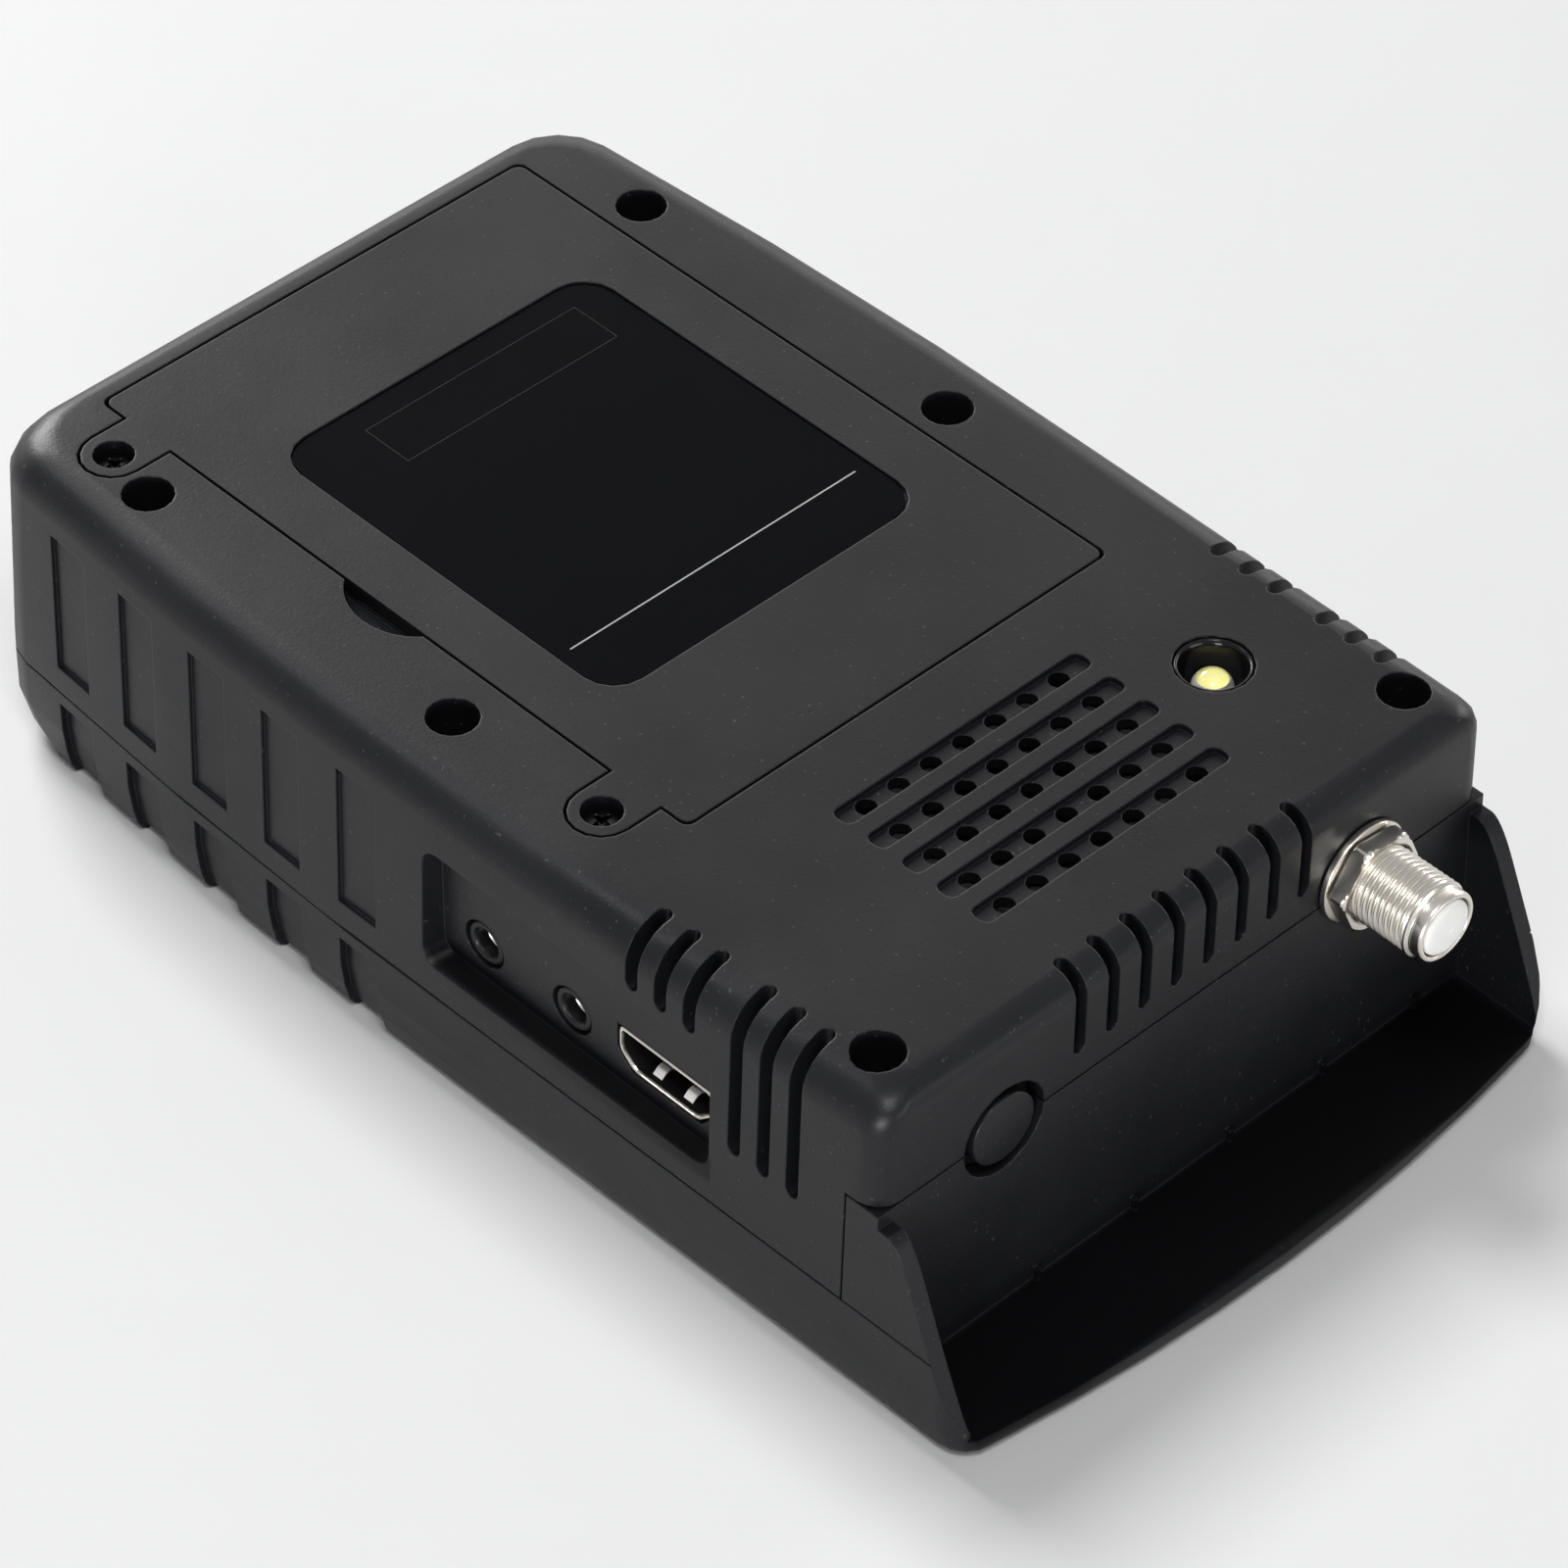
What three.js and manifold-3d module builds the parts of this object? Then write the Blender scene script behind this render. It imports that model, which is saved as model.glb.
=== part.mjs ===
import * as THREE from "three";
import { mergeVertices } from "three/addons/utils/BufferGeometryUtils.js";
import Module from "manifold-3d";

const wasm = await Module();
wasm.setup();

// A hand-held satellite signal meter that lies on its front face, back up.
// Lengths are in millimetres. X runs from the keypad end to the connector end,
// Y across, Z up from the front face to the back. The origin is under the middle.

// Overall size
const overallLength = 165.5;
const caseWidth = 97;
const caseHeight = 44.5;
const hoodReach = 16.45; // the hood's tip beyond the end face
const widestShare = 0.42; // where the case is widest, along the overall length
const farNarrowing = 3.3; // half width lost towards the keypad end
const tipNarrowing = 1.3; // half width lost towards the hood's tip
const tipBow = 3.5;
const farCornerRadius = 8;
const endCornerRadius = 3.2;
const tipCornerRadius = 4;

// Walls, parting line and draft
const wall = 2.2;
const frontWall = 2.4;
const hoodWall = 2.1;
const hoodFloor = 3;
const hoodRimDrop = 1.9; // the hood's side walls below the end's parting line
const hoodRimFlat = 1.3;
const hoodKneeShare = 0.222; // where the rim turns down, along its reach
const hoodBendShare = 0.22; // of the slope down, taken by the turn
const partingHeight = 14;
const endPartingDrop = 14.7; // the end's parting line below the back
const stepInset = 4.8; // the parting line's step behind the end face
const partingGap = 0.3;
const creaseDepth = 0.2;
const sideDraft = 0.7;
const farDraft = 1;
const shoulderDrop = 5;
const sideShoulder = 5;
const farShoulder = 3.8;
const endShoulder = 3;
const shoulderShares = [ // drop, inset, inset of the end face
  [1, 0, 0], [0.75, 0.03, 0], [0.5, 0.13, 0.01], [0.29, 0.29, 0.14], [0.13, 0.5, 0.38], [0.03, 0.76, 0.68],
  [0, 1, 1],
];
const innerShoulderShares = [[1, 0, 0], [0.3, 0.5, 0.5], [0, 1, 1]];
const footRise = 8; // height of the rounded front edge
const sideFoot = 2.4;
const farFoot = 9;
const tipFoot = 1.2;
const footShares = [[0, 1, 1], [0.07, 0.7, 0.4], [0.2, 0.44, 0], [0.5, 0.2, 0], [1, 0, 0]]; // rise, inset, tip

// Grip panels on both long sides
const gripCount = 5;
const gripWidth = 6.2;
const gripPitch = 12.84;
const gripDepth = 0.5;
const gripStart = 13.75; // first panel from the keypad end
const gripFromParting = 3.7;
const gripFromTop = 7;
const lowerGripFromParting = 1.9;
const lowerGripDepth = 0.9;

// Battery door with its tabs, and the label on it
const doorStart = 6.25; // from the keypad end
const doorFromEnd = 45.2; // from the end face
const doorSideInset = 16.1;
const doorShift = 0.8; // the door's middle off the centre line
const doorThickness = 2;
const doorGap = 0.4;
const doorCornerRadius = 1.2;
const seatGap = 0.25;
const ledge = 2.2;
const ledgeThickness = 1.6;
const tabRadius = 4.2;
const tabReach = 4.8; // tab centre outside the door's edge
const tabInset = 8.2; // tab centre from the door's ends
const tabCupDepth = 4.2;
const tabCupRadius = 3.1;
const tabBoreRadius = 2.45;
const tabBoreDepth = 3.1;
const tongueWidth = 8;
const tongueReach = 2.2;
const tongueThickness = 1.2;
const tongueInset = 25; // tongue middles from the door's ends
const notchChord = 13.2;
const notchDepth = 3.1;
const notchSink = 2.6;
const labelEndInset = 20.65; // from the door's ends
const labelSideInset = 8.3;
const labelRadius = 4.6;
const labelRecess = 0.9;
const labelThickness = 0.45;
const labelGap = 0.25;

// Screws
const caseScrewX = 22.35; // first pair from the keypad end
const caseScrewFromPocket = 5.1; // second pair
const caseScrewFromEnd = 7.2;
const caseScrewInset = 10.5; // from the case's widest side
const endScrewInset = 8.2;
const boreRadius = 3.1;
const bossWall = 1.2;
const bossFloor = 2.5;
const screwHeadRadius = 2.75;
const screwHeadHeight = 2.2;
const screwShankRadius = 1.4;
const screwLength = 11;
const screwFit = 0.35;
const frontBossRadius = 3.5;
const doorHeadRadius = 2.1;
const doorHeadHeight = 1.4;
const doorShankRadius = 1.1;
const doorShankLength = 5;
const doorShankFit = 0.45;
const driveWidth = 0.7;
const driveSpanShare = 0.62; // of the head's diameter
const driveDepth = 0.9;
const screwTipShare = 0.6; // of the shank's radius
const headTopShare = 0.8; // of the head's radius
const headChamferShare = 0.33; // of the head's height

// Battery in its bay
const bayDepth = 21.2;
const trayWall = 1.6;
const cellRadius = 9.25;
const cellEndRoom = 16.3; // cell ends from the door's ends, which leaves 65 for the cells
const cellPitch = 19.1;
const nubRadius = 3;
const nubHeight = 1;
const cradleFloor = 1.4;
const cradleWall = 1.6;
const contactThickness = 0.5;
const contactHeight = 6;
const contactOverhang = 4.5; // past the cells' middles
const cradleTopShare = 0.25; // the cradle's top below the cells' middles, of their radius

// Clearances and overruns
const fit = 0.3;
const overrun = 1;

// Speaker grille
const grilleFromEnd = 24.5;
const grilleRows = 5;
const grilleHoles = 7;
const rowPitch = 5.22;
const holePitch = 4.93;
const grilleHoleRadius = 1.3;
const grooveWidth = 2.9;
const grooveDepth = 0.8;
const grooveOverhang = 4.1;
const speakerRadius = 17;
const speakerFlange = 1.4;
const speakerDepth = 4.1;
const speakerMagnetRadius = 8.5;
const speakerConeDepth = 2.4;
const speakerRim = 2;

// Torch
const torchY = 28.4;
const torchMouthRadius = 3.9;
const torchThroatRadius = 2.8;
const torchDepth = 4.6;
const torchWall = 0.5;
const ledRadius = 2.4;
const ledSink = 1.2; // the dome's top below the back
const ledLength = 8.4;
const ledFlange = 0.45;
const ledFlangeHeight = 1;

// Vent slots
const endSlotCount = 8;
const endSlotPitch = 4.95;
const endSlotWidth = 1.7;
const endSlotReach = 4.1; // back from the end face, on the back
const endSlotDrop = 11;
const sideSlotCount = 3;
const sideSlotPitch = 4.36;
const sideSlotWidth = 1.9;
const sideSlotReach = 7; // in from the side, on the back
const longSlotFromEnd = 12.6;
const shortSlotFromEnd = 28.5;
const longSlotDrop = 21;
const shortSlotDrop = 8;

// Port pocket on the side, with its sockets
const pocketFromEnd = 24.5;
const pocketLength = 45.9;
const pocketTopDrop = 8.8;
const pocketHeight = 17.7;
const pocketDepth = 3.1;
const pocketRadius = 2.2;
const pocketFloor = 2;
const pocketTaper = 1;
const jackDrop = 20.6;
const jackRadius = 2.85;
const jackBoreRadius = 1.8;
const jackHoleRadius = 3.15;
const jackBodyHalf = 3.2;
const jackDepth = 9.5;
const jackNoseLength = 3;
const jackBoreDepth = 8;
const jackFromPocket = 7.6; // first jack from the pocket's keypad side
const jackPitch = 14.1;
const jackSink = 0.5;
const hdmiFromPocket = 36.5;
const hdmiWidth = 14.6;
const hdmiHeight = 5.5;
const hdmiFootWidth = 10.2;
const hdmiShoulder = 3.3; // straight part of its sides
const hdmiSheet = 0.4;
const hdmiDepth = 11;
const hdmiTongueWidth = 11.6;
const hdmiTongueThickness = 1.3;
const hdmiTongueReach = 6;
const hdmiBlock = 3;

// Power and data sockets on the other side
const dcFromEnd = 54;
const dcWidth = 9;
const dcHeight = 8.6;
const dcDepth = 9.6;
const dcNoseRadius = 3.7;
const dcBoreRadius = 2.9;
const dcPinRadius = 0.9;
const usbFromEnd = 30;
const usbWidth = 13.2;
const usbHeight = 5.8;
const usbSheet = 0.4;
const usbDepth = 12;
const usbBlock = 3;
const usbTongueWidth = 11;
const usbTongueThickness = 1.8;
const usbTongueReach = 8;
const socketSink = 0.4;

// Threaded coaxial connector and the blanking plug on the end face
const connectorInset = 22.15; // its axis from the case's widest side
const connectorRise = 2; // its axis above the end's parting line
const connectorReach = 13;
const threadRadius = 4.76;
const threadDepth = 0.42;
const threadPitch = 0.794;
const threadCount = 9;
const collarRadius = 4.3;
const collarLength = 2;
const collarGroove = 0.4;
const barrelBore = 3.7;
const barrelTail = 6;
const flangeRadius = 5.6;
const insulatorRadius = 3.5;
const insulatorLength = 7;
const insulatorDome = 0.5;
const domeEdgeShare = 0.8;
const contactRadius = 0.35;
const nutFlats = 11.11;
const nutThickness = 2.1;
const nutTurn = -6; // degrees
const nutFlankShare = 0.75; // of its thickness
const nutFaceShare = 0.9; // of its corner radius
const washerRadius = 6.45;
const washerThickness = 0.8;
const washerDish = 0.25;
const threadFit = 0.15;
const plugInset = 20.1;
const plugHoleRadius = 6;
const plugFaceRadius = 4.56;
const plugFlangeRadius = 7.4;
const plugFlangeThickness = 1.2;
const hoodRibCount = 6;
const hoodRibPitch = 15.1;
const hoodRibWidth = 0.6;
const hoodRibReach = 0.7;
const hoodRibHeight = 1.6;

// Boards and tuner
const boardThickness = 1.6;
const boardRise = 2.6; // jack axis above the main board
const boardMargin = 1.8;
const postWidth = 6;
const postReach = 3;
const canLength = 13.6;
const canWidth = 16.8;
const canHeight = 16;
const frontBoardInset = 15.5;

// Screen, keypad and indicators on the front
const lensGap = 9.3; // from the keypad's recess
const lensSideInset = 8.5;
const lensThickness = 1.2;
const lensRecess = 1.7;
const lensRadius = 3;
const lensFromEnd = 10.5;
const windowInset = 4; // inside the lens
const panelEndLap = 2.2; // past the window
const panelSideLap = 0.3;
const panelThickness = 3.2;
const keypadRecess = 1;
const keypadMargin = 3.4;
const keyRows = 4;
const keyColumns = 4;
const keyRowPitch = 12.4;
const keyColumnPitch = 15.6;
const keyLength = 7.4;
const keyWidth = 11.6;
const keyRadius = 2;
const keyInset = 0.4; // key tops above the plane that the meter lies on
const keyFit = 0.3;
const keyFlange = 0.8;
const keyFlangeThickness = 0.7;
const keyPost = 0.8;
const keyPostRadius = 1.8;
const keyTravel = 0.8;
const keypadFromFar = 41.55; // middle of the keypad from the keypad end
const matThickness = 1.1;
const indicatorGap = 3.3; // from the keypad's recess
const indicatorY = 8;
const indicatorRadius = 1.3;
const indicatorFlange = 0.9;

// Fineness of round shapes
const fine = 20;
const medium = 16;
const small = 12;
const coarse = 8;
const cornerSteps = 4;
const sideSteps = 5;
const outlineSteps = 2;
const weld = 1e-4;

// Places worked out from the sizes above
const farX = -overallLength / 2;
const tipX = overallLength / 2;
const endX = tipX - hoodReach;
const widestX = farX + widestShare * overallLength;
const halfWidth = caseWidth / 2;
const endPartingHeight = caseHeight - endPartingDrop;
const hoodRim = endPartingHeight - hoodRimDrop;
const doorX0 = farX + doorStart;
const doorX1 = endX - doorFromEnd;
const doorLength = doorX1 - doorX0;
const doorWidth = caseWidth - 2 * doorSideInset;
const doorMidX = (doorX0 + doorX1) / 2;
const doorY0 = doorShift - doorWidth / 2;
const doorY1 = doorShift + doorWidth / 2;
const ledgeZ = caseHeight - doorThickness - seatGap;
const bayFloorZ = ledgeZ - bayDepth;
const tabY = doorY0 - tabReach;
const tabXs = [doorX0 + tabInset, doorX1 - tabInset];
const tongueXs = [doorX0 + tongueInset, doorX1 - tongueInset];
const stepX = endX - stepInset;
const grilleX = endX - grilleFromEnd;
const jackZ = caseHeight - jackDrop;
const boardTopZ = jackZ - boardRise;
const connectorY = halfWidth - connectorInset;
const connectorZ = endPartingHeight + connectorRise;
const plugY = plugInset - halfWidth;
const pocketX1 = endX - pocketFromEnd;
const pocketX0 = pocketX1 - pocketLength;
const pocketZ1 = caseHeight - pocketTopDrop;
const pocketZ0 = pocketZ1 - pocketHeight;
const pocketFloorY = -halfWidth + pocketDepth;
const headSeatZ = partingHeight + partingGap / 2 + bossFloor;
const screwPlaces = [
  [farX + caseScrewX, halfWidth - caseScrewInset],
  [pocketX0 - caseScrewFromPocket, halfWidth - caseScrewInset],
  [endX - caseScrewFromEnd, halfWidth - endScrewInset],
].flatMap(([x, y]) => [[x, -y], [x, y]]);

// Looks
const blackPlastic = { color: 0x2b2c2f, roughness: 0.55, metalness: 0 };
const glossBlack = { color: 0x08090b, roughness: 0.15, metalness: 0 };
const darkSteel = { color: 0x3a3a3c, roughness: 0.4, metalness: 1 };
const nickel = { color: 0xcfc6b6, roughness: 0.22, metalness: 1 };
const brightTin = { color: 0xb9bbbd, roughness: 0.35, metalness: 1 };
const whitePlastic = { color: 0xeceff0, roughness: 0.45, metalness: 0 };
const clearYellow = { color: 0xf2e27a, roughness: 0.1, metalness: 0 };
const boardGreen = { color: 0x1d5c38, roughness: 0.5, metalness: 0 };
const cellSleeve = { color: 0x2d62b8, roughness: 0.35, metalness: 0 };
const keyRubber = { color: 0x55585d, roughness: 0.7, metalness: 0 };
const glass = { color: 0x0c1014, roughness: 0.05, metalness: 0 };
const lightPipe = { color: 0xc9d8cf, roughness: 0.2, metalness: 0 };

// Solids from three.js geometry

function toSolid(geometry) {
  const bare = geometry.index ? geometry.toNonIndexed() : geometry.clone();
  bare.deleteAttribute("normal");
  bare.deleteAttribute("uv");
  const merged = mergeVertices(bare, weld);
  const triVerts = new Uint32Array(merged.index.array);
  const vertProperties = merged.attributes.position.array;
  const made = new wasm.Manifold(new wasm.Mesh({ numProp: 3, vertProperties, triVerts }));
  if (made.volume() > 0) return made;
  for (let i = 0; i < triVerts.length; i += 3) {
    const first = triVerts[i];
    triVerts[i] = triVerts[i + 1];
    triVerts[i + 1] = first;
  }
  return new wasm.Manifold(new wasm.Mesh({ numProp: 3, vertProperties, triVerts }));
}

function toMesh(name, solid, look) {
  const mesh = solid.getMesh();
  const geometry = new THREE.BufferGeometry();
  const positions = new Float32Array(mesh.numVert * 3);
  for (let i = 0; i < mesh.numVert; i++) {
    positions.set(mesh.vertProperties.subarray(i * mesh.numProp, i * mesh.numProp + 3), i * 3);
  }
  geometry.setAttribute("position", new THREE.BufferAttribute(positions, 3));
  geometry.setIndex(new THREE.BufferAttribute(new Uint32Array(mesh.triVerts), 1));
  geometry.computeVertexNormals();
  const made = new THREE.Mesh(geometry, new THREE.MeshStandardMaterial(look));
  made.name = name;
  return made;
}

const unite = (first, ...others) => others.flat().reduce((sum, next) => sum.add(next), first);
const cut = (first, ...others) => others.flat().reduce((rest, next) => rest.subtract(next), first);

function box(x0, x1, y0, y1, z0, z1) {
  const geometry = new THREE.BoxGeometry(x1 - x0, y1 - y0, z1 - z0);
  return toSolid(geometry.translate((x0 + x1) / 2, (y0 + y1) / 2, (z0 + z1) / 2));
}

// A round bar along z, centred on x and y.
function barZ(x, y, radius, z0, z1, sides = medium) {
  const geometry = new THREE.CylinderGeometry(radius, radius, z1 - z0, sides);
  return toSolid(geometry.rotateX(Math.PI / 2).translate(x, y, (z0 + z1) / 2));
}

function barY(x, z, radius, y0, y1, sides = medium) {
  const geometry = new THREE.CylinderGeometry(radius, radius, y1 - y0, sides);
  return toSolid(geometry.translate(x, (y0 + y1) / 2, z));
}

function barX(y, z, radius, x0, x1, sides = medium) {
  const geometry = new THREE.CylinderGeometry(radius, radius, x1 - x0, sides);
  return toSolid(geometry.rotateZ(Math.PI / 2).translate((x0 + x1) / 2, y, z));
}

// A shape in x and y, drawn out along z.
function prismZ(shape, z0, z1, steps = outlineSteps) {
  const options = { depth: z1 - z0, bevelEnabled: false, curveSegments: steps };
  return toSolid(new THREE.ExtrudeGeometry(shape, options).translate(0, 0, z0));
}

// A shape in x and z, drawn out along y.
function prismY(shape, y0, y1, steps = outlineSteps) {
  const options = { depth: y1 - y0, bevelEnabled: false, curveSegments: steps };
  const geometry = new THREE.ExtrudeGeometry(shape, options);
  return toSolid(geometry.rotateX(Math.PI / 2).translate(0, y1, 0));
}

// A profile of radius and height points, turned about a z axis.
function spun(points, sides = medium) {
  const profile = points.map(([radius, height]) => new THREE.Vector2(radius, height));
  return new THREE.LatheGeometry(profile, sides).rotateX(Math.PI / 2);
}

const spunZ = (x, y, points, sides) => toSolid(spun(points, sides).translate(x, y, 0));

// The same, with the profile's height running along +x.
const spunX = (y, z, points, sides) =>
  toSolid(spun(points, sides).rotateY(Math.PI / 2).translate(0, y, z));

function roundedRectangle(x0, x1, y0, y1, radius) {
  const shape = new THREE.Shape();
  shape.moveTo(x0 + radius, y0);
  shape.lineTo(x1 - radius, y0);
  shape.absarc(x1 - radius, y0 + radius, radius, -Math.PI / 2, 0);
  shape.lineTo(x1, y1 - radius);
  shape.absarc(x1 - radius, y1 - radius, radius, 0, Math.PI / 2);
  shape.lineTo(x0 + radius, y1);
  shape.absarc(x0 + radius, y1 - radius, radius, Math.PI / 2, Math.PI);
  shape.lineTo(x0, y0 + radius);
  shape.absarc(x0 + radius, y0 + radius, radius, Math.PI, 1.5 * Math.PI);
  return shape;
}

// Joins rings of equal point counts into one closed skin, with a fan at each end.
function loft(rings) {
  const count = rings[0].length;
  const positions = rings.flat().flatMap((p) => [p.x, p.y, p.z]);
  const index = [];
  for (let ring = 0; ring + 1 < rings.length; ring++) {
    for (let i = 0; i < count; i++) {
      const a = ring * count + i;
      const b = ring * count + ((i + 1) % count);
      index.push(a, b, b + count, a, b + count, a + count);
    }
  }
  const addFan = (ring, upwards) => {
    const middle = new THREE.Vector3();
    rings[ring].forEach((p) => middle.addScaledVector(p, 1 / count));
    positions.push(middle.x, middle.y, middle.z);
    const hub = positions.length / 3 - 1;
    for (let i = 0; i < count; i++) {
      const a = ring * count + i;
      const b = ring * count + ((i + 1) % count);
      index.push(...(upwards ? [a, b, hub] : [b, a, hub]));
    }
  };
  addFan(0, false);
  addFan(rings.length - 1, true);
  const geometry = new THREE.BufferGeometry();
  geometry.setAttribute("position", new THREE.Float32BufferAttribute(positions, 3));
  geometry.setIndex(index);
  return toSolid(geometry);
}

// Plan outline of the case

// Half the case's width at x: one long curve to the keypad end, a slight taper to the tip.
function halfWidthAt(x) {
  if (x < widestX) return halfWidth - farNarrowing * ((widestX - x) / (widestX - farX)) ** 2;
  return halfWidth - (tipNarrowing * (x - widestX)) / (tipX - widestX);
}

const sideSlope = (x) => (2 * farNarrowing * (widestX - x)) / (widestX - farX) ** 2;

// One level outline: inset by side and far, with its other end at nearX, bowed by bow.
function caseRing(z, side, far, nearX, nearRadius, bow) {
  const half = [];
  const cornerX = farX + far + farCornerRadius;
  const lean = Math.atan(sideSlope(cornerX));
  const start = cornerX - farCornerRadius * Math.sin(lean);
  const centreY = halfWidthAt(start) - side - farCornerRadius * Math.cos(lean);
  for (let i = 0; i <= cornerSteps; i++) {
    const angle = Math.PI - (Math.PI / 2 - lean) * (i / cornerSteps);
    half.push([cornerX + farCornerRadius * Math.cos(angle), centreY + farCornerRadius * Math.sin(angle)]);
  }
  const stop = nearX - bow - nearRadius;
  for (let i = 1; i < sideSteps; i++) {
    const x = start + ((stop - start) * i) / sideSteps;
    half.push([x, halfWidthAt(x) - side]);
  }
  const nearY = halfWidthAt(stop) - side - nearRadius;
  for (let i = 0; i <= cornerSteps; i++) {
    const angle = Math.PI / 2 - (Math.PI / 2) * (i / cornerSteps);
    half.push([stop + nearRadius * Math.cos(angle), nearY + nearRadius * Math.sin(angle)]);
  }
  const bowSteps = bow > 0 ? cornerSteps : 1;
  for (let i = 1; i <= bowSteps; i++) {
    const share = i / bowSteps;
    half.push([nearX - bow * (1 - share) ** 2, nearY * (1 - share)]);
  }
  const points = half.map(([x, y]) => new THREE.Vector3(x, y, z));
  const mirrored = half.slice(0, -1).map(([x, y]) => new THREE.Vector3(x, -y, z));
  return points.concat(mirrored.reverse());
}

const draftAt = (z) => (z - partingHeight) / (caseHeight - shoulderDrop - partingHeight);

// The case above the parting line, shrunk on all sides by inset.
function upperForm(inset, fromZ) {
  const top = caseHeight - inset;
  const ring = (z, share, endShare) => {
    const draft = Math.min(Math.max(draftAt(z + inset), 0), 1);
    return caseRing(
      z,
      sideDraft * draft + sideShoulder * share + inset,
      farDraft * draft + farShoulder * share + inset,
      endX - endShoulder * endShare - inset,
      Math.max(endCornerRadius - inset, fit),
      0,
    );
  };
  const shares = inset > gripDepth ? innerShoulderShares : shoulderShares;
  const rings = shares.map(([drop, share, endShare]) => ring(top - drop * shoulderDrop, share, endShare));
  return loft([ring(fromZ, 0, 0), ...rings]);
}

// The case below the parting line, out to nearX, shrunk by inset.
function lowerForm(inset, fromZ, toZ, nearX, nearRadius, bow) {
  const ring = (z, share, tipShare) => {
    const draft = Math.max(draftAt(z), 0);
    return caseRing(
      z,
      sideFoot * share + sideDraft * draft + inset,
      farFoot * share + farDraft * draft + inset,
      nearX - tipFoot * tipShare - inset,
      nearRadius,
      bow,
    );
  };
  const rings = footShares.map(([rise, share, tipShare]) => ring(fromZ + rise * footRise, share, tipShare));
  return loft([...rings, ring(partingHeight, 0, 0), ring(toZ, 0, 0)]);
}

// What the grip panels take off between two heights, down to the core.
function gripPanels(core, z0, z1) {
  const panels = [];
  for (let i = 0; i < gripCount; i++) {
    const x = farX + gripStart + i * gripPitch;
    for (const side of [-1, 1]) {
      const y0 = side < 0 ? -halfWidth - overrun : caseWidth / 4;
      const y1 = side < 0 ? -caseWidth / 4 : halfWidth + overrun;
      panels.push(cut(box(x, x + gripWidth, y0, y1, z0, z1), core));
    }
  }
  return panels;
}

// Rear shell and what is cut in it

function doorBlock(inset, z0, z1) {
  const plate = roundedRectangle(
    doorX0 + inset, doorX1 - inset, doorY0 + inset, doorY1 - inset, doorCornerRadius,
  );
  const tabs = tabXs.flatMap((x) => [
    barZ(x, tabY, tabRadius - inset, z0, z1),
    box(x - tabRadius + inset, x + tabRadius - inset, tabY, doorY0 + tabReach, z0, z1),
  ]);
  return unite(prismZ(plate, z0, z1), tabs);
}

function grooves() {
  const cuts = [];
  const halfLength = ((grilleHoles - 1) * holePitch) / 2;
  for (let row = 0; row < grilleRows; row++) {
    const x = grilleX + (row - (grilleRows - 1) / 2) * rowPitch;
    const reach = halfLength + grooveOverhang;
    const shape = roundedRectangle(x - grooveWidth / 2, x + grooveWidth / 2, -reach, reach, grooveWidth / 3);
    cuts.push(prismZ(shape, caseHeight - grooveDepth, caseHeight + overrun, 1));
    for (let hole = 0; hole < grilleHoles; hole++) {
      const y = hole * holePitch - halfLength;
      cuts.push(barZ(x, y, grilleHoleRadius, caseHeight - wall - overrun, caseHeight, small));
    }
  }
  return cuts;
}

function endSlots() {
  const cuts = [];
  const half = endSlotWidth / 2;
  for (let i = 0; i < endSlotCount; i++) {
    const y = (i - (endSlotCount - 1) / 2) * endSlotPitch;
    const x0 = endX - endSlotReach + half;
    const z0 = caseHeight - endSlotDrop + half;
    cuts.push(box(x0, endX + overrun, y - half, y + half, z0, caseHeight + overrun));
    cuts.push(barZ(x0, y, half, z0, caseHeight + overrun, small));
    cuts.push(barX(y, z0, half, x0, endX + overrun, small));
  }
  return cuts;
}

function sideSlots(side) {
  const cuts = [];
  const half = sideSlotWidth / 2;
  for (const [fromEnd, drop] of [[longSlotFromEnd, longSlotDrop], [shortSlotFromEnd, shortSlotDrop]]) {
    for (let i = 0; i < sideSlotCount; i++) {
      const x = endX - fromEnd - i * sideSlotPitch;
      const inner = halfWidth - sideSlotReach + half;
      const outer = halfWidth + overrun;
      const z0 = caseHeight - drop + half;
      const [y0, y1] = side < 0 ? [-outer, -inner] : [inner, outer];
      cuts.push(box(x - half, x + half, y0, y1, z0, caseHeight + overrun));
      cuts.push(barZ(x, side * inner, half, z0, caseHeight + overrun, small));
      cuts.push(barY(x, z0, half, y0, y1, small));
    }
  }
  return cuts;
}

// The pocket's hollow, drawn in towards its floor, made larger all round by grow.
function pocketForm(grow, y0, y1) {
  const outline = (inset) =>
    roundedRectangle(
      pocketX0 - grow + inset, pocketX1 + grow - inset,
      pocketZ0 - grow + inset, pocketZ1 + grow - inset, pocketRadius,
    ).getPoints(2).slice(0, -1);
  const ring = (inset, y) => outline(inset).map((p) => new THREE.Vector3(p.x, y, p.y));
  return loft([ring(pocketTaper, y1), ring(0, y0)]);
}

// A socket outline wider at the top: straight sides, then slanted to its foot.
function hdmiOutline(x, z, grow) {
  const shape = new THREE.Shape();
  const top = z + hdmiHeight / 2 + grow;
  const foot = z - hdmiHeight / 2 - grow;
  const shoulder = z + hdmiHeight / 2 - hdmiShoulder;
  const halfTop = hdmiWidth / 2 + grow;
  const halfFoot = hdmiFootWidth / 2 + grow;
  shape.moveTo(x - halfTop, top);
  shape.lineTo(x - halfTop, shoulder);
  shape.lineTo(x - halfFoot, foot);
  shape.lineTo(x + halfFoot, foot);
  shape.lineTo(x + halfTop, shoulder);
  shape.lineTo(x + halfTop, top);
  return shape;
}

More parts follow.
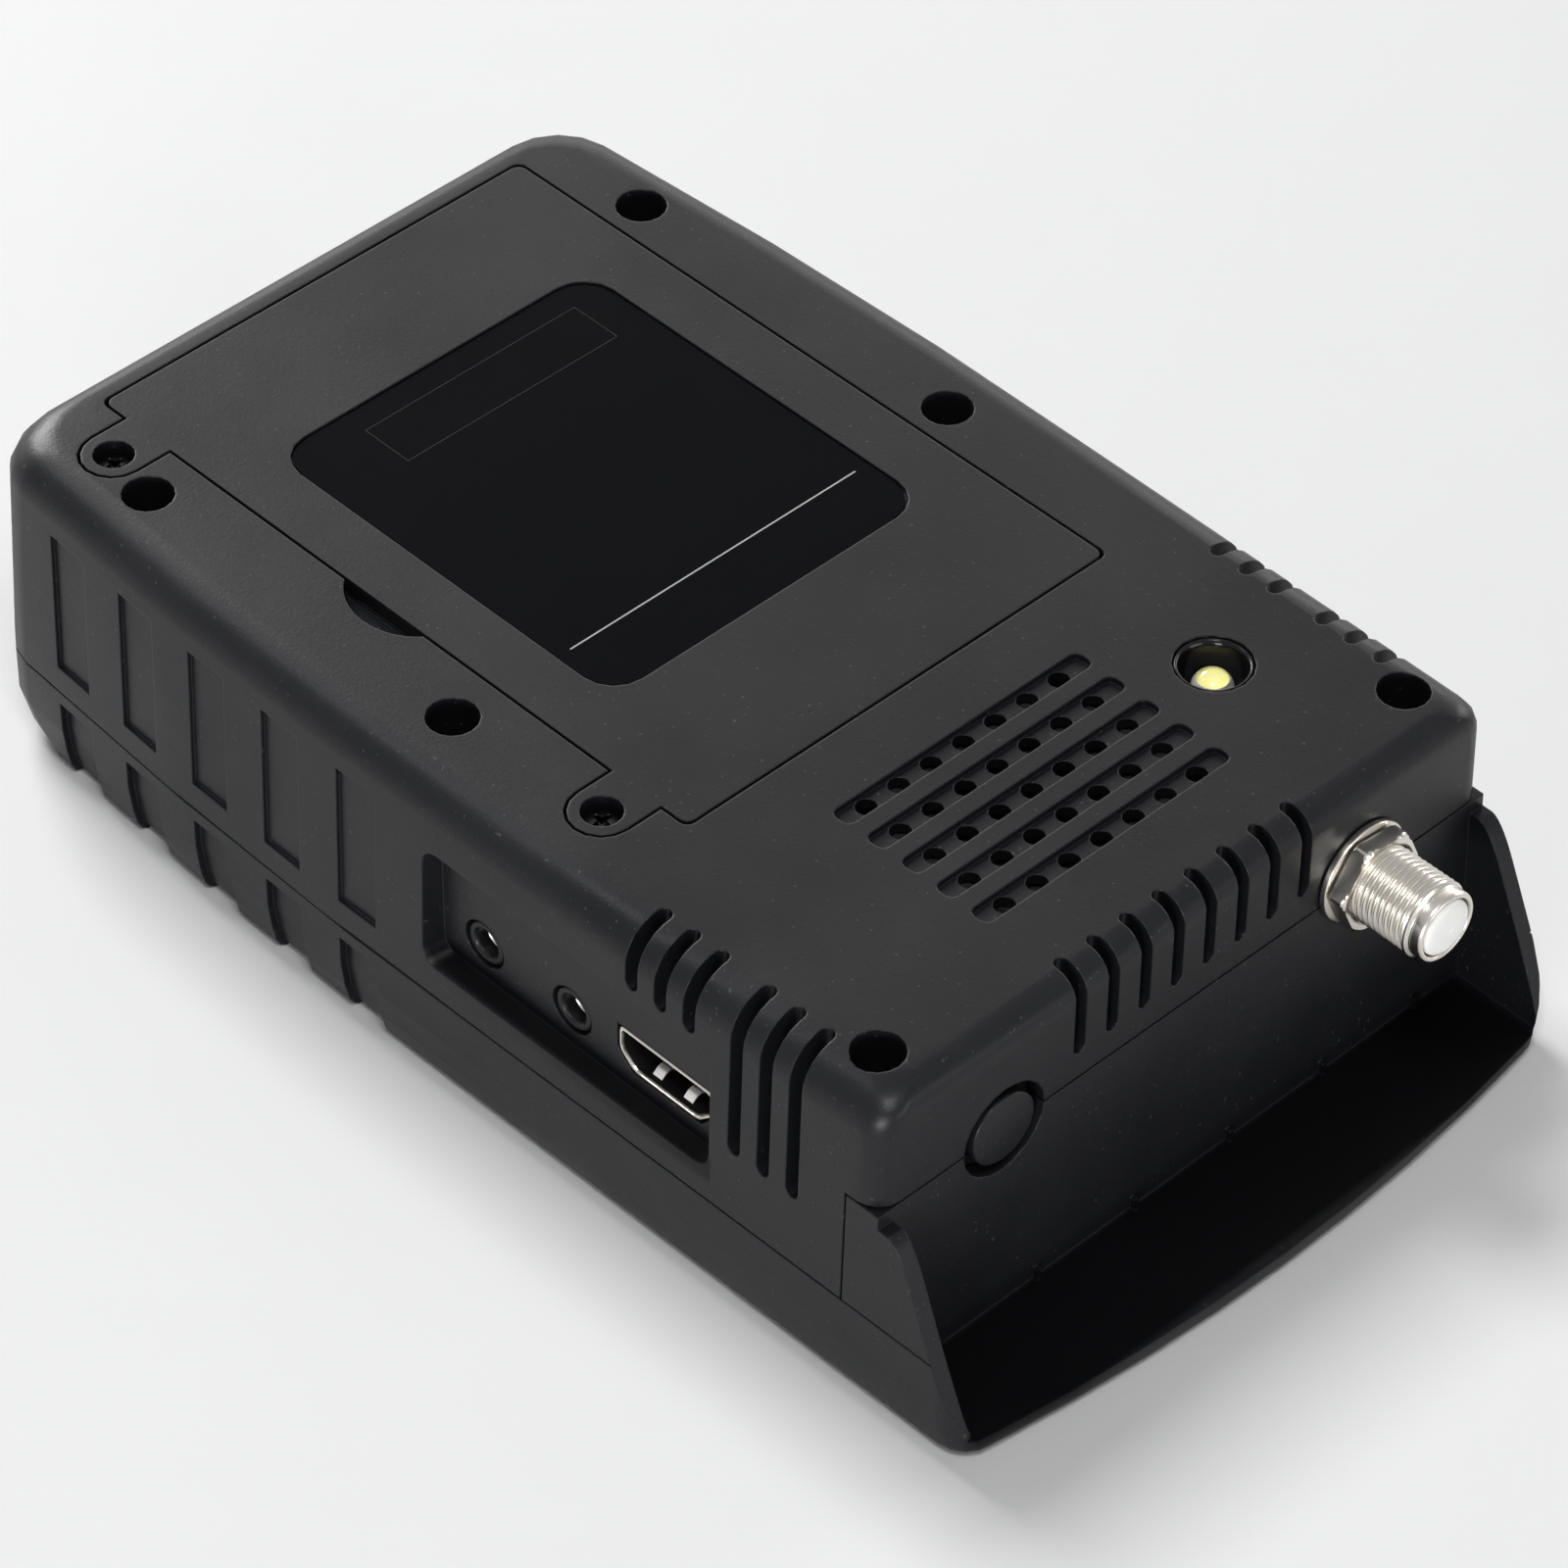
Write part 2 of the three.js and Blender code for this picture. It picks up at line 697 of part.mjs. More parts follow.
const hdmiX = pocketX0 + hdmiFromPocket;
const hdmiZ = boardTopZ + fit + hdmiHeight / 2;
const jackXs = [pocketX0 + jackFromPocket, pocketX0 + jackFromPocket + jackPitch];
const sideInnerY = halfWidth - wall;
const dcX = endX - dcFromEnd;
const dcZ = boardTopZ + fit + dcHeight / 2;
const usbX = endX - usbFromEnd;
const usbZ = boardTopZ + fit + usbHeight / 2;

function rearShell() {
  const skinTop = caseHeight - wall;
  const bossTop = caseHeight - wall / 2;
  const low = partingHeight + partingGap / 2;
  const endLow = endPartingHeight + partingGap / 2;
  const outer = upperForm(0, low);
  const inner = upperForm(wall, low - overrun);
  const trayGrow = trayWall - ledge;
  const ledgeGrow = ledgeThickness / 2;
  const ledgePlate = unite(
    box(doorX0 - ledgeGrow, doorX1 + ledgeGrow, doorY0 - ledgeGrow, doorY1 + ledgeGrow,
      ledgeZ - ledgeThickness, bossTop),
    tabXs.map((x) => box(x - tabRadius - ledgeGrow, x + tabRadius + ledgeGrow,
      tabY, doorY0, ledgeZ - ledgeThickness, bossTop)),
  );
  const tray = box(doorX0 - trayGrow, doorX1 + trayGrow, doorY0 - trayGrow, doorY1 + trayGrow,
    bayFloorZ - trayWall, ledgeZ);
  const tabBosses = tabXs.map((x) =>
    barZ(x, tabY, tabRadius + ledgeGrow, ledgeZ - bayDepth / 2, bossTop));
  const screwBosses = screwPlaces.map(([x, y]) => barZ(x, y, boreRadius + bossWall, low, bossTop));
  const notchRadius = notchChord ** 2 / (8 * notchDepth) + notchDepth / 2;
  const notchY = doorY0 - notchDepth + notchRadius;
  const notchPad = box(doorMidX - notchChord / 2 - wall, doorMidX + notchChord / 2 + wall,
    doorY0 - notchDepth - wall, doorY0, caseHeight - notchSink - wall, bossTop);
  const notch = barZ(doorMidX, notchY, notchRadius, caseHeight - notchSink, caseHeight + overrun, fine * 2)
    .intersect(box(doorX0, doorX1, -halfWidth, doorY0 + doorGap, 0, caseHeight + overrun));
  const pocketBack = pocketForm(wall, -halfWidth + wall / 2, pocketFloorY + pocketFloor);
  const torchSleeve = barZ(grilleX, torchY, torchMouthRadius + torchWall + fit + bossWall,
    caseHeight - torchDepth, bossTop);
  const body = unite(cut(outer, inner), [
    ...[ledgePlate, tray, notchPad, pocketBack, torchSleeve, ...tabBosses, ...screwBosses],
  ]).intersect(outer);
  const core = upperForm(gripDepth, low - overrun);
  const tongueCuts = tongueXs.map((x) => {
    const half = tongueWidth / 2 + fit;
    const swing = Math.hypot(tongueReach, doorThickness + seatGap + fit + tongueThickness);
    return box(x - half, x + half, doorY1 - ledge - overrun, doorY1 + tongueReach + fit,
      caseHeight - swing - fit, caseHeight - wall);
  });
  const doorHoles = tabXs.flatMap((x) => [
    barZ(x, tabY, tabCupRadius + fit + seatGap, caseHeight - tabCupDepth - fit, caseHeight),
    barZ(x, tabY, doorShankRadius + doorShankFit, ledgeZ - bayDepth / 2 + trayWall, caseHeight, coarse),
  ]);
  const screwHoles = screwPlaces.flatMap(([x, y]) => [
    barZ(x, y, boreRadius, headSeatZ, caseHeight + overrun),
    barZ(x, y, screwShankRadius + screwFit, low - overrun, caseHeight, coarse),
  ]);
  const portHoles = [
    ...jackXs.map((x) => barY(x, jackZ, jackHoleRadius, pocketFloorY - overrun, pocketFloorY + pocketFloor + overrun)),
    prismY(hdmiOutline(hdmiX, hdmiZ, fit), pocketFloorY - overrun, pocketFloorY + pocketFloor + overrun),
    barY(dcX, dcZ, dcNoseRadius + fit, sideInnerY - overrun, halfWidth + overrun),
    box(usbX - usbWidth / 2 - fit, usbX + usbWidth / 2 + fit, sideInnerY - wall, halfWidth + overrun,
      usbZ - usbHeight / 2 - fit, usbZ + usbHeight / 2 + fit),
  ];
  return cut(body, [
    box(stepX - partingGap / 2, endX + overrun, -halfWidth, halfWidth, low - overrun, endLow),
    doorBlock(0, ledgeZ, caseHeight + overrun),
    box(doorX0 + ledge, doorX1 - ledge, doorY0 + ledge, doorY1 - ledge, bayFloorZ, caseHeight),
    notch,
    pocketForm(0, -halfWidth - overrun, pocketFloorY),
    ...gripPanels(core, partingHeight + gripFromParting, caseHeight - gripFromTop),
    ...tongueCuts, ...doorHoles, ...screwHoles, ...portHoles,
    ...grooves(), ...endSlots(), ...sideSlots(-1), ...sideSlots(1),
    barZ(grilleX, torchY, torchMouthRadius + torchWall + fit, caseHeight - torchDepth - overrun, caseHeight + overrun),
    barX(connectorY, connectorZ, threadRadius + fit, endX - wall - overrun, endX + overrun),
    barX(plugY, endPartingHeight, plugHoleRadius, endX - wall - overrun, endX + overrun, fine),
  ]);
}

// Front shell with the hood round the connectors

const keypadX = farX + keypadFromFar;
const keypadReachX = ((keyRows - 1) * keyRowPitch + keyLength) / 2 + keypadMargin;
const keypadReachY = ((keyColumns - 1) * keyColumnPitch + keyWidth) / 2 + keypadMargin;
const keyPlaces = Array.from({ length: keyRows * keyColumns }, (_, i) => [
  keypadX + ((keyRows - 1) / 2 - Math.floor(i / keyColumns)) * keyRowPitch,
  ((i % keyColumns) - (keyColumns - 1) / 2) * keyColumnPitch,
]);
const lensX1 = endX - lensFromEnd;
const lensX0 = keypadX + keypadReachX + lensGap;
const lensHalf = halfWidth - lensSideInset;
const windowX0 = lensX0 + windowInset;
const windowX1 = lensX1 - windowInset;
const windowHalf = lensHalf - windowInset;
const indicatorX = keypadX + keypadReachX + indicatorGap;

const keyOutline = (x, y, grow) =>
  roundedRectangle(x - keyLength / 2 - grow, x + keyLength / 2 + grow,
    y - keyWidth / 2 - grow, y + keyWidth / 2 + grow, keyRadius);

// What lies above the hood's rim: flat, then a turn into a straight slope down to the floor's edge.
function hoodCutter() {
  const shape = new THREE.Shape();
  const footX = tipX - tipBow;
  const kneeX = endX + (footX - endX) * hoodKneeShare;
  shape.moveTo(endX, hoodRim);
  shape.lineTo(endX + hoodRimFlat, hoodRim);
  shape.quadraticCurveTo(
    kneeX, hoodRim,
    kneeX + (footX - kneeX) * hoodBendShare, hoodRim + (hoodFloor - hoodRim) * hoodBendShare,
  );
  shape.lineTo(footX, hoodFloor);
  shape.lineTo(tipX + overrun, hoodFloor);
  shape.lineTo(tipX + overrun, endPartingHeight + overrun);
  shape.lineTo(endX, endPartingHeight + overrun);
  return prismY(shape, -halfWidth - overrun, halfWidth + overrun, sideSteps * 2);
}

function frontShell() {
  const high = partingHeight - partingGap / 2;
  const endHigh = endPartingHeight - partingGap / 2;
  const outer = lowerForm(0, 0, endHigh, tipX, tipCornerRadius, tipBow);
  const inner = lowerForm(wall, frontWall, endHigh + overrun, endX, endCornerRadius, 0);
  const bay = lowerForm(hoodWall, hoodFloor - footRise, endHigh + overrun, tipX + hoodWall + fit,
    tipCornerRadius - hoodWall, tipBow).intersect(
    box(endX, tipX + overrun, -halfWidth, halfWidth, hoodFloor, caseHeight));
  const bosses = screwPlaces.map(([x, y]) => barZ(x, y, frontBossRadius, frontWall / 2, high, medium));
  const ribs = Array.from({ length: hoodRibCount }, (_, i) => {
    const y = (i - (hoodRibCount - 1) / 2) * hoodRibPitch;
    return box(endX - wall / 2, endX + hoodRibReach, y - hoodRibWidth / 2, y + hoodRibWidth / 2,
      hoodFloor / 2, hoodFloor + hoodRibHeight);
  });
  const posts = [-1, 1].map((side) => {
    const y = side * caseWidth / 6;
    return box(endX - wall - postReach, endX - wall / 2, y - postWidth / 2, y + postWidth / 2,
      frontWall / 2, boardTopZ - boardThickness - fit);
  });
  const core = lowerForm(lowerGripDepth, 0, endHigh, tipX, tipCornerRadius, tipBow);
  const crease = cut(
    lowerForm(-overrun, 0, endHigh, tipX, tipCornerRadius, tipBow),
    lowerForm(creaseDepth, -overrun, endHigh + overrun, tipX, tipCornerRadius, tipBow),
  ).intersect(box(stepX, tipX, -caseWidth, caseWidth, high, high + partingGap));
  const solid = unite(cut(outer, inner, bay, hoodCutter()), [...bosses, ...ribs, ...posts]);
  return cut(solid, [
    box(farX - overrun, stepX + partingGap / 2, -halfWidth, halfWidth, high, endHigh + overrun),
    ...gripPanels(core, 0, partingHeight - lowerGripFromParting),
    crease,
    ...screwPlaces.map(([x, y]) =>
      barZ(x, y, screwShankRadius + screwFit, headSeatZ - screwLength - fit, high + overrun, coarse)),
    prismZ(roundedRectangle(lensX0 - fit, lensX1 + fit, -lensHalf - fit, lensHalf + fit, lensRadius),
      -overrun, lensRecess),
    box(windowX0, windowX1, -windowHalf, windowHalf, 0, frontWall + overrun),
    prismZ(roundedRectangle(keypadX - keypadReachX, keypadX + keypadReachX,
      -keypadReachY, keypadReachY, lensRadius), -overrun, keypadRecess),
    ...keyPlaces.map(([x, y]) => prismZ(keyOutline(x, y, keyFit), 0, frontWall + overrun, 1)),
    ...[-1, 1].map((side) => barZ(indicatorX, side * indicatorY, indicatorRadius + fit, -overrun,
      frontWall + overrun, coarse)),
    barX(connectorY, connectorZ, threadRadius + fit, endX - wall - overrun, endX + overrun),
    barX(plugY, endPartingHeight, plugHoleRadius, endX - wall - overrun, endX + overrun, fine),
  ]);
}

// Battery door, label and its screws

const labelX0 = doorX0 + labelEndInset;
const labelX1 = doorX1 - labelEndInset;
const labelY0 = doorY0 + labelSideInset;
const labelY1 = doorY1 - labelSideInset;

function batteryDoor() {
  const z0 = caseHeight - doorThickness;
  const cups = tabXs.map((x) => barZ(x, tabY, tabCupRadius, caseHeight - tabCupDepth, z0 + doorThickness / 2));
  const tongues = tongueXs.flatMap((x) => {
    const top = caseHeight - wall - fit;
    const bottom = top - tongueThickness;
    const root = doorY1 - ledge;
    return [
      box(x - tongueWidth / 2, x + tongueWidth / 2, root, doorY1 - doorGap, bottom, z0 + doorThickness / 2),
      box(x - tongueWidth / 2, x + tongueWidth / 2, root, doorY1 + tongueReach, bottom, top),
    ];
  });
  const recess = prismZ(
    roundedRectangle(labelX0, labelX1, labelY0, labelY1, labelRadius),
    caseHeight - labelRecess, caseHeight + overrun,
  );
  return cut(unite(doorBlock(doorGap, z0, caseHeight), cups, tongues), [
    recess,
    ...tabXs.map((x) => barZ(x, tabY, tabBoreRadius, caseHeight - tabBoreDepth, caseHeight + overrun)),
    ...tabXs.map((x) => barZ(x, tabY, doorShankRadius + fit, caseHeight - tabCupDepth - overrun, caseHeight, coarse)),
  ]);
}

function doorLabel() {
  const shape = roundedRectangle(
    labelX0 + labelGap, labelX1 - labelGap, labelY0 + labelGap, labelY1 - labelGap, labelRadius,
  );
  const z0 = caseHeight - labelRecess + labelGap;
  return prismZ(shape, z0, z0 + labelThickness);
}

// A screw with a cross-shaped drive, its head's underside at z.
function screw(x, y, z, headRadius, headHeight, shankRadius, length) {
  const top = z + headHeight;
  const body = spunZ(x, y, [
    [0, z - length],
    [shankRadius * screwTipShare, z - length],
    [shankRadius, z - length + shankRadius],
    [shankRadius, z],
    [headRadius, z],
    [headRadius, top - headHeight * headChamferShare],
    [headRadius * headTopShare, top],
    [0, top],
  ], coarse);
  const span = headRadius * driveSpanShare;
  const half = driveWidth / 2;
  return cut(body, [
    box(x - span, x + span, y - half, y + half, top - driveDepth, top + overrun),
    box(x - half, x + half, y - span, y + span, top - driveDepth, top + overrun),
  ]);
}

const caseScrew = ([x, y]) =>
  screw(x, y, headSeatZ + fit, screwHeadRadius, screwHeadHeight, screwShankRadius, screwLength);

const doorScrew = (x) =>
  screw(x, tabY, caseHeight - tabBoreDepth + fit, doorHeadRadius, doorHeadHeight, doorShankRadius, doorShankLength);

// Battery

const cellZ = bayFloorZ + fit + cradleFloor + fit + cellRadius;
const cellYs = [doorShift - cellPitch / 2, doorShift + cellPitch / 2];
const cellHalf = doorLength / 2 - cellEndRoom;
const channelHalf = cellHalf + contactThickness + 2 * fit;
const cradleTopZ = cellZ - cellRadius * cradleTopShare;

function batteryCradle() {
  const reach = channelHalf + cradleWall;
  const half = cellPitch / 2 + cellRadius + fit + cradleWall;
  const block = box(doorMidX - reach, doorMidX + reach, doorShift - half, doorShift + half,
    bayFloorZ + fit, cradleTopZ);
  return cut(block, cellYs.map((y) =>
    barX(y, cellZ, cellRadius + fit, doorMidX - channelHalf, doorMidX + channelHalf, fine)));
}

function batteryCell(y) {
  return spunX(y, cellZ, [
    [0, doorMidX - cellHalf],
    [cellRadius, doorMidX - cellHalf],
    [cellRadius, doorMidX + cellHalf - nubHeight],
    [nubRadius, doorMidX + cellHalf - nubHeight],
    [nubRadius, doorMidX + cellHalf],
    [0, doorMidX + cellHalf],
  ]);
}

function batteryContact(side) {
  const x = doorMidX + side * (cellHalf + fit + contactThickness / 2);
  const half = contactThickness / 2;
  const reach = cellPitch / 2 + contactOverhang;
  return box(x - half, x + half, doorShift - reach, doorShift + reach,
    cradleTopZ + fit, cradleTopZ + fit + contactHeight);
}

// Speaker and torch

function speaker() {
  const top = caseHeight - wall - fit;
  return spunZ(grilleX, 0, [
    [0, top - speakerDepth],
    [speakerMagnetRadius, top - speakerDepth],
    [speakerMagnetRadius, top - speakerDepth / 2],
    [speakerRadius - speakerRim, top - speakerFlange],
    [speakerRadius, top - speakerFlange],
    [speakerRadius, top],
    [speakerRadius - speakerRim, top],
    [speakerMagnetRadius / 2, top - speakerConeDepth],
    [0, top - speakerConeDepth],
  ], fine);
}

function torchReflector() {
  const bottom = caseHeight - torchDepth;
  const outer = torchMouthRadius + torchWall;
  return spunZ(grilleX, torchY, [
    [torchThroatRadius, bottom],
    [outer, bottom],
    [outer, caseHeight - fit / 2],
    [torchMouthRadius + torchWall / 3, caseHeight - fit / 2],
    [torchMouthRadius, caseHeight - fit * 2],
    [torchThroatRadius, bottom + torchWall],
    [torchThroatRadius, bottom],
  ], fine);
}

function torchLed() {
  const top = caseHeight - ledSink;
  const bottom = top - ledLength;
  const dome = Array.from({ length: cornerSteps + 1 }, (_, i) => {
    const angle = (Math.PI / 2) * (i / cornerSteps);
    return [ledRadius * Math.cos(angle), top - ledRadius + ledRadius * Math.sin(angle)];
  });
  return spunZ(grilleX, torchY, [
    [0, bottom],
    [ledRadius + ledFlange, bottom],
    [ledRadius + ledFlange, bottom + ledFlangeHeight],
    [ledRadius, bottom + ledFlangeHeight],
    ...dome,
  ]);
}

// Coaxial connector and blanking plug

function connectorBarrel() {
  const tip = endX + connectorReach;
  const collar = tip - collarLength;
  const threadStart = collar - threadCount * threadPitch;
  const root = threadRadius - threadDepth;
  const thread = Array.from({ length: threadCount }, (_, i) => {
    const x = threadStart + i * threadPitch;
    return [[threadRadius, x], [root, x + threadPitch / 2]];
  }).flat();
  const flangeX = endX - wall - fit;
  return spunX(connectorY, connectorZ, [
    [0, flangeX - barrelTail],
    [root, flangeX - barrelTail],
    [root, flangeX - postReach / 2],
    [flangeRadius, flangeX - postReach / 2],
    [flangeRadius, flangeX],
    [threadRadius, flangeX],
    ...thread,
    [root, collar],
    [root, collar + collarGroove],
    [collarRadius, collar + collarGroove],
    [collarRadius, tip - collarGroove],
    [collarRadius - collarGroove / 2, tip],
    [barrelBore, tip],
    [barrelBore, tip - insulatorLength - fit],
    [0, tip - insulatorLength - fit],
  ], fine);
}

function connectorInsulator() {
  const tip = endX + connectorReach;
  return spunX(connectorY, connectorZ, [
    [0, tip - insulatorLength],
    [insulatorRadius, tip - insulatorLength],
    [insulatorRadius, tip],
    [insulatorRadius * domeEdgeShare, tip + insulatorDome * domeEdgeShare],
    [contactRadius, tip + insulatorDome],
    [contactRadius, tip - insulatorLength / 3],
    [0, tip - insulatorLength / 3],
  ]);
}

const washerX = endX + fit / 2;
const nutX = washerX + washerThickness + washerDish + fit / 2;

function connectorWasher() {
  const inner = threadRadius + threadFit;
  return spunX(connectorY, connectorZ, [
    [inner, washerX + washerDish],
    [washerRadius, washerX],
    [washerRadius, washerX + washerThickness],
    [inner, washerX + washerThickness + washerDish],
    [inner, washerX + washerDish],
  ], fine);
}

function connectorNut() {
  const corner = nutFlats / 2 / Math.cos(Math.PI / 6);
  const hex = new THREE.CylinderGeometry(corner, corner, nutThickness, 6);
  const turn = THREE.MathUtils.degToRad(nutTurn);
  const block = toSolid(hex.rotateZ(Math.PI / 2).rotateX(turn + Math.PI / 2)
    .translate(nutX + nutThickness / 2, connectorY, connectorZ));
  const chamfer = spunX(connectorY, connectorZ, [
    [0, nutX],
    [corner, nutX],
    [corner, nutX + nutThickness * nutFlankShare],
    [corner * nutFaceShare, nutX + nutThickness],
    [0, nutX + nutThickness],
  ], fine);
  return cut(block.intersect(chamfer),
    barX(connectorY, connectorZ, threadRadius + threadFit, nutX - overrun, nutX + nutThickness + overrun, fine));
}

function blankPlug() {
  const back = endX - wall - fit;
  return spunX(plugY, endPartingHeight, [
    [0, back - plugFlangeThickness],
    [plugFlangeRadius, back - plugFlangeThickness],
    [plugFlangeRadius, back],
    [plugFaceRadius, back],
    [plugFaceRadius, endX - fit],
    [plugFaceRadius - fit, endX],
    [0, endX],
  ], fine);
}

// Sockets in the side pocket

function avJack(x) {
  const front = pocketFloorY + jackSink;
  const shoulder = pocketFloorY + pocketFloor + fit;
  const block = box(x - jackBodyHalf, x + jackBodyHalf, shoulder, front + jackDepth,
    boardTopZ + fit, jackZ + jackBodyHalf);
  const nose = barY(x, jackZ, jackRadius, front, shoulder + jackNoseLength);
  const trimmed = cut(nose, box(x - jackBodyHalf, x + jackBodyHalf, shoulder, front + jackDepth,
    boardTopZ - jackBodyHalf, boardTopZ + fit));
  return cut(unite(block, trimmed), barY(x, jackZ, jackBoreRadius, front - overrun, front + jackBoreDepth, medium));
}

function hdmiShell() {
  const outer = prismY(hdmiOutline(hdmiX, hdmiZ, 0), pocketFloorY, pocketFloorY + hdmiDepth);
  const hollow = prismY(hdmiOutline(hdmiX, hdmiZ, -hdmiSheet), pocketFloorY - overrun,
    pocketFloorY + hdmiDepth + overrun);
  return cut(outer, hollow);
}

function hdmiTongue() {
  const back = pocketFloorY + hdmiDepth;
  const front = back - hdmiBlock;
  const block = prismY(hdmiOutline(hdmiX, hdmiZ, -hdmiSheet - threadFit), front, back);
  const blade = box(hdmiX - hdmiTongueWidth / 2, hdmiX + hdmiTongueWidth / 2,
    front - hdmiTongueReach, front + hdmiBlock / 2,
    hdmiZ - hdmiTongueThickness / 2 + hdmiSheet, hdmiZ + hdmiTongueThickness / 2 + hdmiSheet);
  return unite(block, blade);
}

// Sockets on the other side

function dcJack() {
  const front = halfWidthAt(dcX) - sideDraft - socketSink;
  const shoulder = sideInnerY - sideDraft - 2 * fit;
  const block = box(dcX - dcWidth / 2, dcX + dcWidth / 2, shoulder - dcDepth, shoulder,
    boardTopZ + fit, boardTopZ + fit + dcHeight);
  const nose = barY(dcX, dcZ, dcNoseRadius, shoulder - overrun, front);
  const bore = barY(dcX, dcZ, dcBoreRadius, shoulder - dcDepth + wall, front + overrun);
  const pin = barY(dcX, dcZ, dcPinRadius, shoulder - dcDepth + wall / 2, front - wall, coarse);
  return unite(cut(unite(block, nose), bore), pin);
}

function usbBox(inset, y0, y1) {
  return box(usbX - usbWidth / 2 + inset, usbX + usbWidth / 2 - inset, y0, y1,
    usbZ - usbHeight / 2 + inset, usbZ + usbHeight / 2 - inset);
}

function usbShell() {
  const front = halfWidthAt(usbX) - sideDraft - socketSink;
  return cut(usbBox(0, front - usbDepth, front), usbBox(usbSheet, front - usbDepth - overrun, front + overrun));
}

function usbTongue() {
  const back = halfWidthAt(usbX) - sideDraft - socketSink - usbDepth;
  const blade = box(usbX - usbTongueWidth / 2, usbX + usbTongueWidth / 2, back + usbBlock / 2,
    back + usbBlock + usbTongueReach, usbZ, usbZ + usbTongueThickness);
  return unite(usbBox(usbSheet + threadFit, back, back + usbBlock), blade);
}

// Boards, tuner, screen and keypad

function mainBoard() {
  const z0 = boardTopZ - boardThickness;
  const x1 = endX - wall - boardMargin;
  const innerX = doorX1 + trayWall;
  const y0 = pocketFloorY + pocketFloor + boardMargin;
  const y1 = halfWidthAt(endX) - sideDraft - wall - boardMargin;
  const wings = [
    box(pocketX0 + fit, innerX + overrun, y0, doorY0 - boardMargin, z0, boardTopZ),
    box(pocketX0 + fit, innerX + overrun, doorY1 + boardMargin, y1, z0, boardTopZ),
  ];
  return cut(unite(box(innerX, x1, y0, y1, z0, boardTopZ), wings),
    screwPlaces.map(([x, y]) => barZ(x, y, boreRadius + bossWall + fit, z0 - overrun, boardTopZ + overrun)));
}

function tunerCan() {
  const x1 = endX - wall - fit - postReach / 2 - fit;
  const outer = box(x1 - canLength, x1, connectorY - canWidth / 2, connectorY + canWidth / 2,
    boardTopZ + fit, boardTopZ + fit + canHeight);
  return cut(outer, barX(connectorY, connectorZ, threadRadius + fit, x1 - barrelTail, x1 + overrun));
}

const panelZ0 = frontWall + fit;
const frontBoardZ0 = panelZ0 + panelThickness + fit;

function lcdPanel() {
  return box(windowX0 - panelEndLap, windowX1 + panelEndLap, -windowHalf - panelSideLap,
    windowHalf + panelSideLap, panelZ0, panelZ0 + panelThickness);
}

function screenLens() {
  const shape = roundedRectangle(lensX0, lensX1, -lensHalf, lensHalf, lensRadius);
  return prismZ(shape, lensRecess - fit - lensThickness, lensRecess - fit);
}

function frontBoard() {
  const half = halfWidth - frontBoardInset;
  return box(keypadX - keypadReachX, lensX1 - lensRecess, -half, half,
    frontBoardZ0, frontBoardZ0 + boardThickness);
}

const keySeatZ = frontWall + fit;

function key([x, y]) {
  const cap = prismZ(keyOutline(x, y, 0), keyInset, keySeatZ + keyFlangeThickness, 1);
  const reachX = keyLength / 2 + keyFlange;
  const reachY = keyWidth / 2 + keyFlange;
  const flange = box(x - reachX, x + reachX, y - reachY, y + reachY, keySeatZ, keySeatZ + keyFlangeThickness);
  const post = barZ(x, y, keyPostRadius, keySeatZ, keySeatZ + keyFlangeThickness + keyPost, coarse);
  return unite(cap, flange, post);
}

function keyMat() {
  const z0 = keySeatZ + keyFlangeThickness + keyPost + keyTravel + threadFit;
  const reachX = ((keyRows - 1) * keyRowPitch + keyLength) / 2 + keyFlange;
  const reachY = ((keyColumns - 1) * keyColumnPitch + keyWidth) / 2 + keyFlange;
  return box(keypadX - reachX, keypadX + reachX, -reachY, reachY, z0, frontBoardZ0 - fit);
}

function indicator(side) {
  const y = side * indicatorY;
  return spunZ(indicatorX, y, [
    [0, keyInset],
    [indicatorRadius, keyInset],
    [indicatorRadius, frontWall + fit],
    [indicatorRadius + indicatorFlange, frontWall + fit],
    [indicatorRadius + indicatorFlange, frontBoardZ0 - fit],
    [0, frontBoardZ0 - fit],
  ], coarse);
}

// The assembly

const meter = new THREE.Group();
const add = (name, solid, look) => meter.add(toMesh(name, solid, look));

add("rear_shell", rearShell(), blackPlastic);
add("front_shell", frontShell(), blackPlastic);

const doorGroup = new THREE.Group();
doorGroup.add(toMesh("battery_door", batteryDoor(), blackPlastic));
doorGroup.add(toMesh("door_label", doorLabel(), glossBlack));
tabXs.forEach((x, i) => doorGroup.add(toMesh("door_screw_" + (i + 1), doorScrew(x), darkSteel)));
meter.add(doorGroup);

screwPlaces.forEach((place, i) => add("case_screw_" + (i + 1), caseScrew(place), darkSteel));

add("battery_cradle", batteryCradle(), blackPlastic);
cellYs.forEach((y, i) => add("battery_cell_" + (i + 1), batteryCell(y), cellSleeve));
[-1, 1].forEach((side, i) => add("battery_contact_" + (i + 1), batteryContact(side), brightTin));

add("speaker", speaker(), darkSteel);
add("torch_reflector", torchReflector(), glossBlack);
add("torch_led", torchLed(), clearYellow);

const connector = new THREE.Group();
connector.add(toMesh("connector_barrel", connectorBarrel(), nickel));
connector.add(toMesh("connector_washer", connectorWasher(), nickel));
connector.add(toMesh("connector_nut", connectorNut(), nickel));
connector.add(toMesh("connector_insulator", connectorInsulator(), whitePlastic));
meter.add(connector);

add("blank_plug", blankPlug(), blackPlastic);
jackXs.forEach((x, i) => add("av_jack_" + (i + 1), avJack(x), blackPlastic));
add("hdmi_shell", hdmiShell(), nickel);
add("hdmi_tongue", hdmiTongue(), glossBlack);
add("dc_jack", dcJack(), blackPlastic);
add("usb_shell", usbShell(), brightTin);
add("usb_tongue", usbTongue(), whitePlastic);

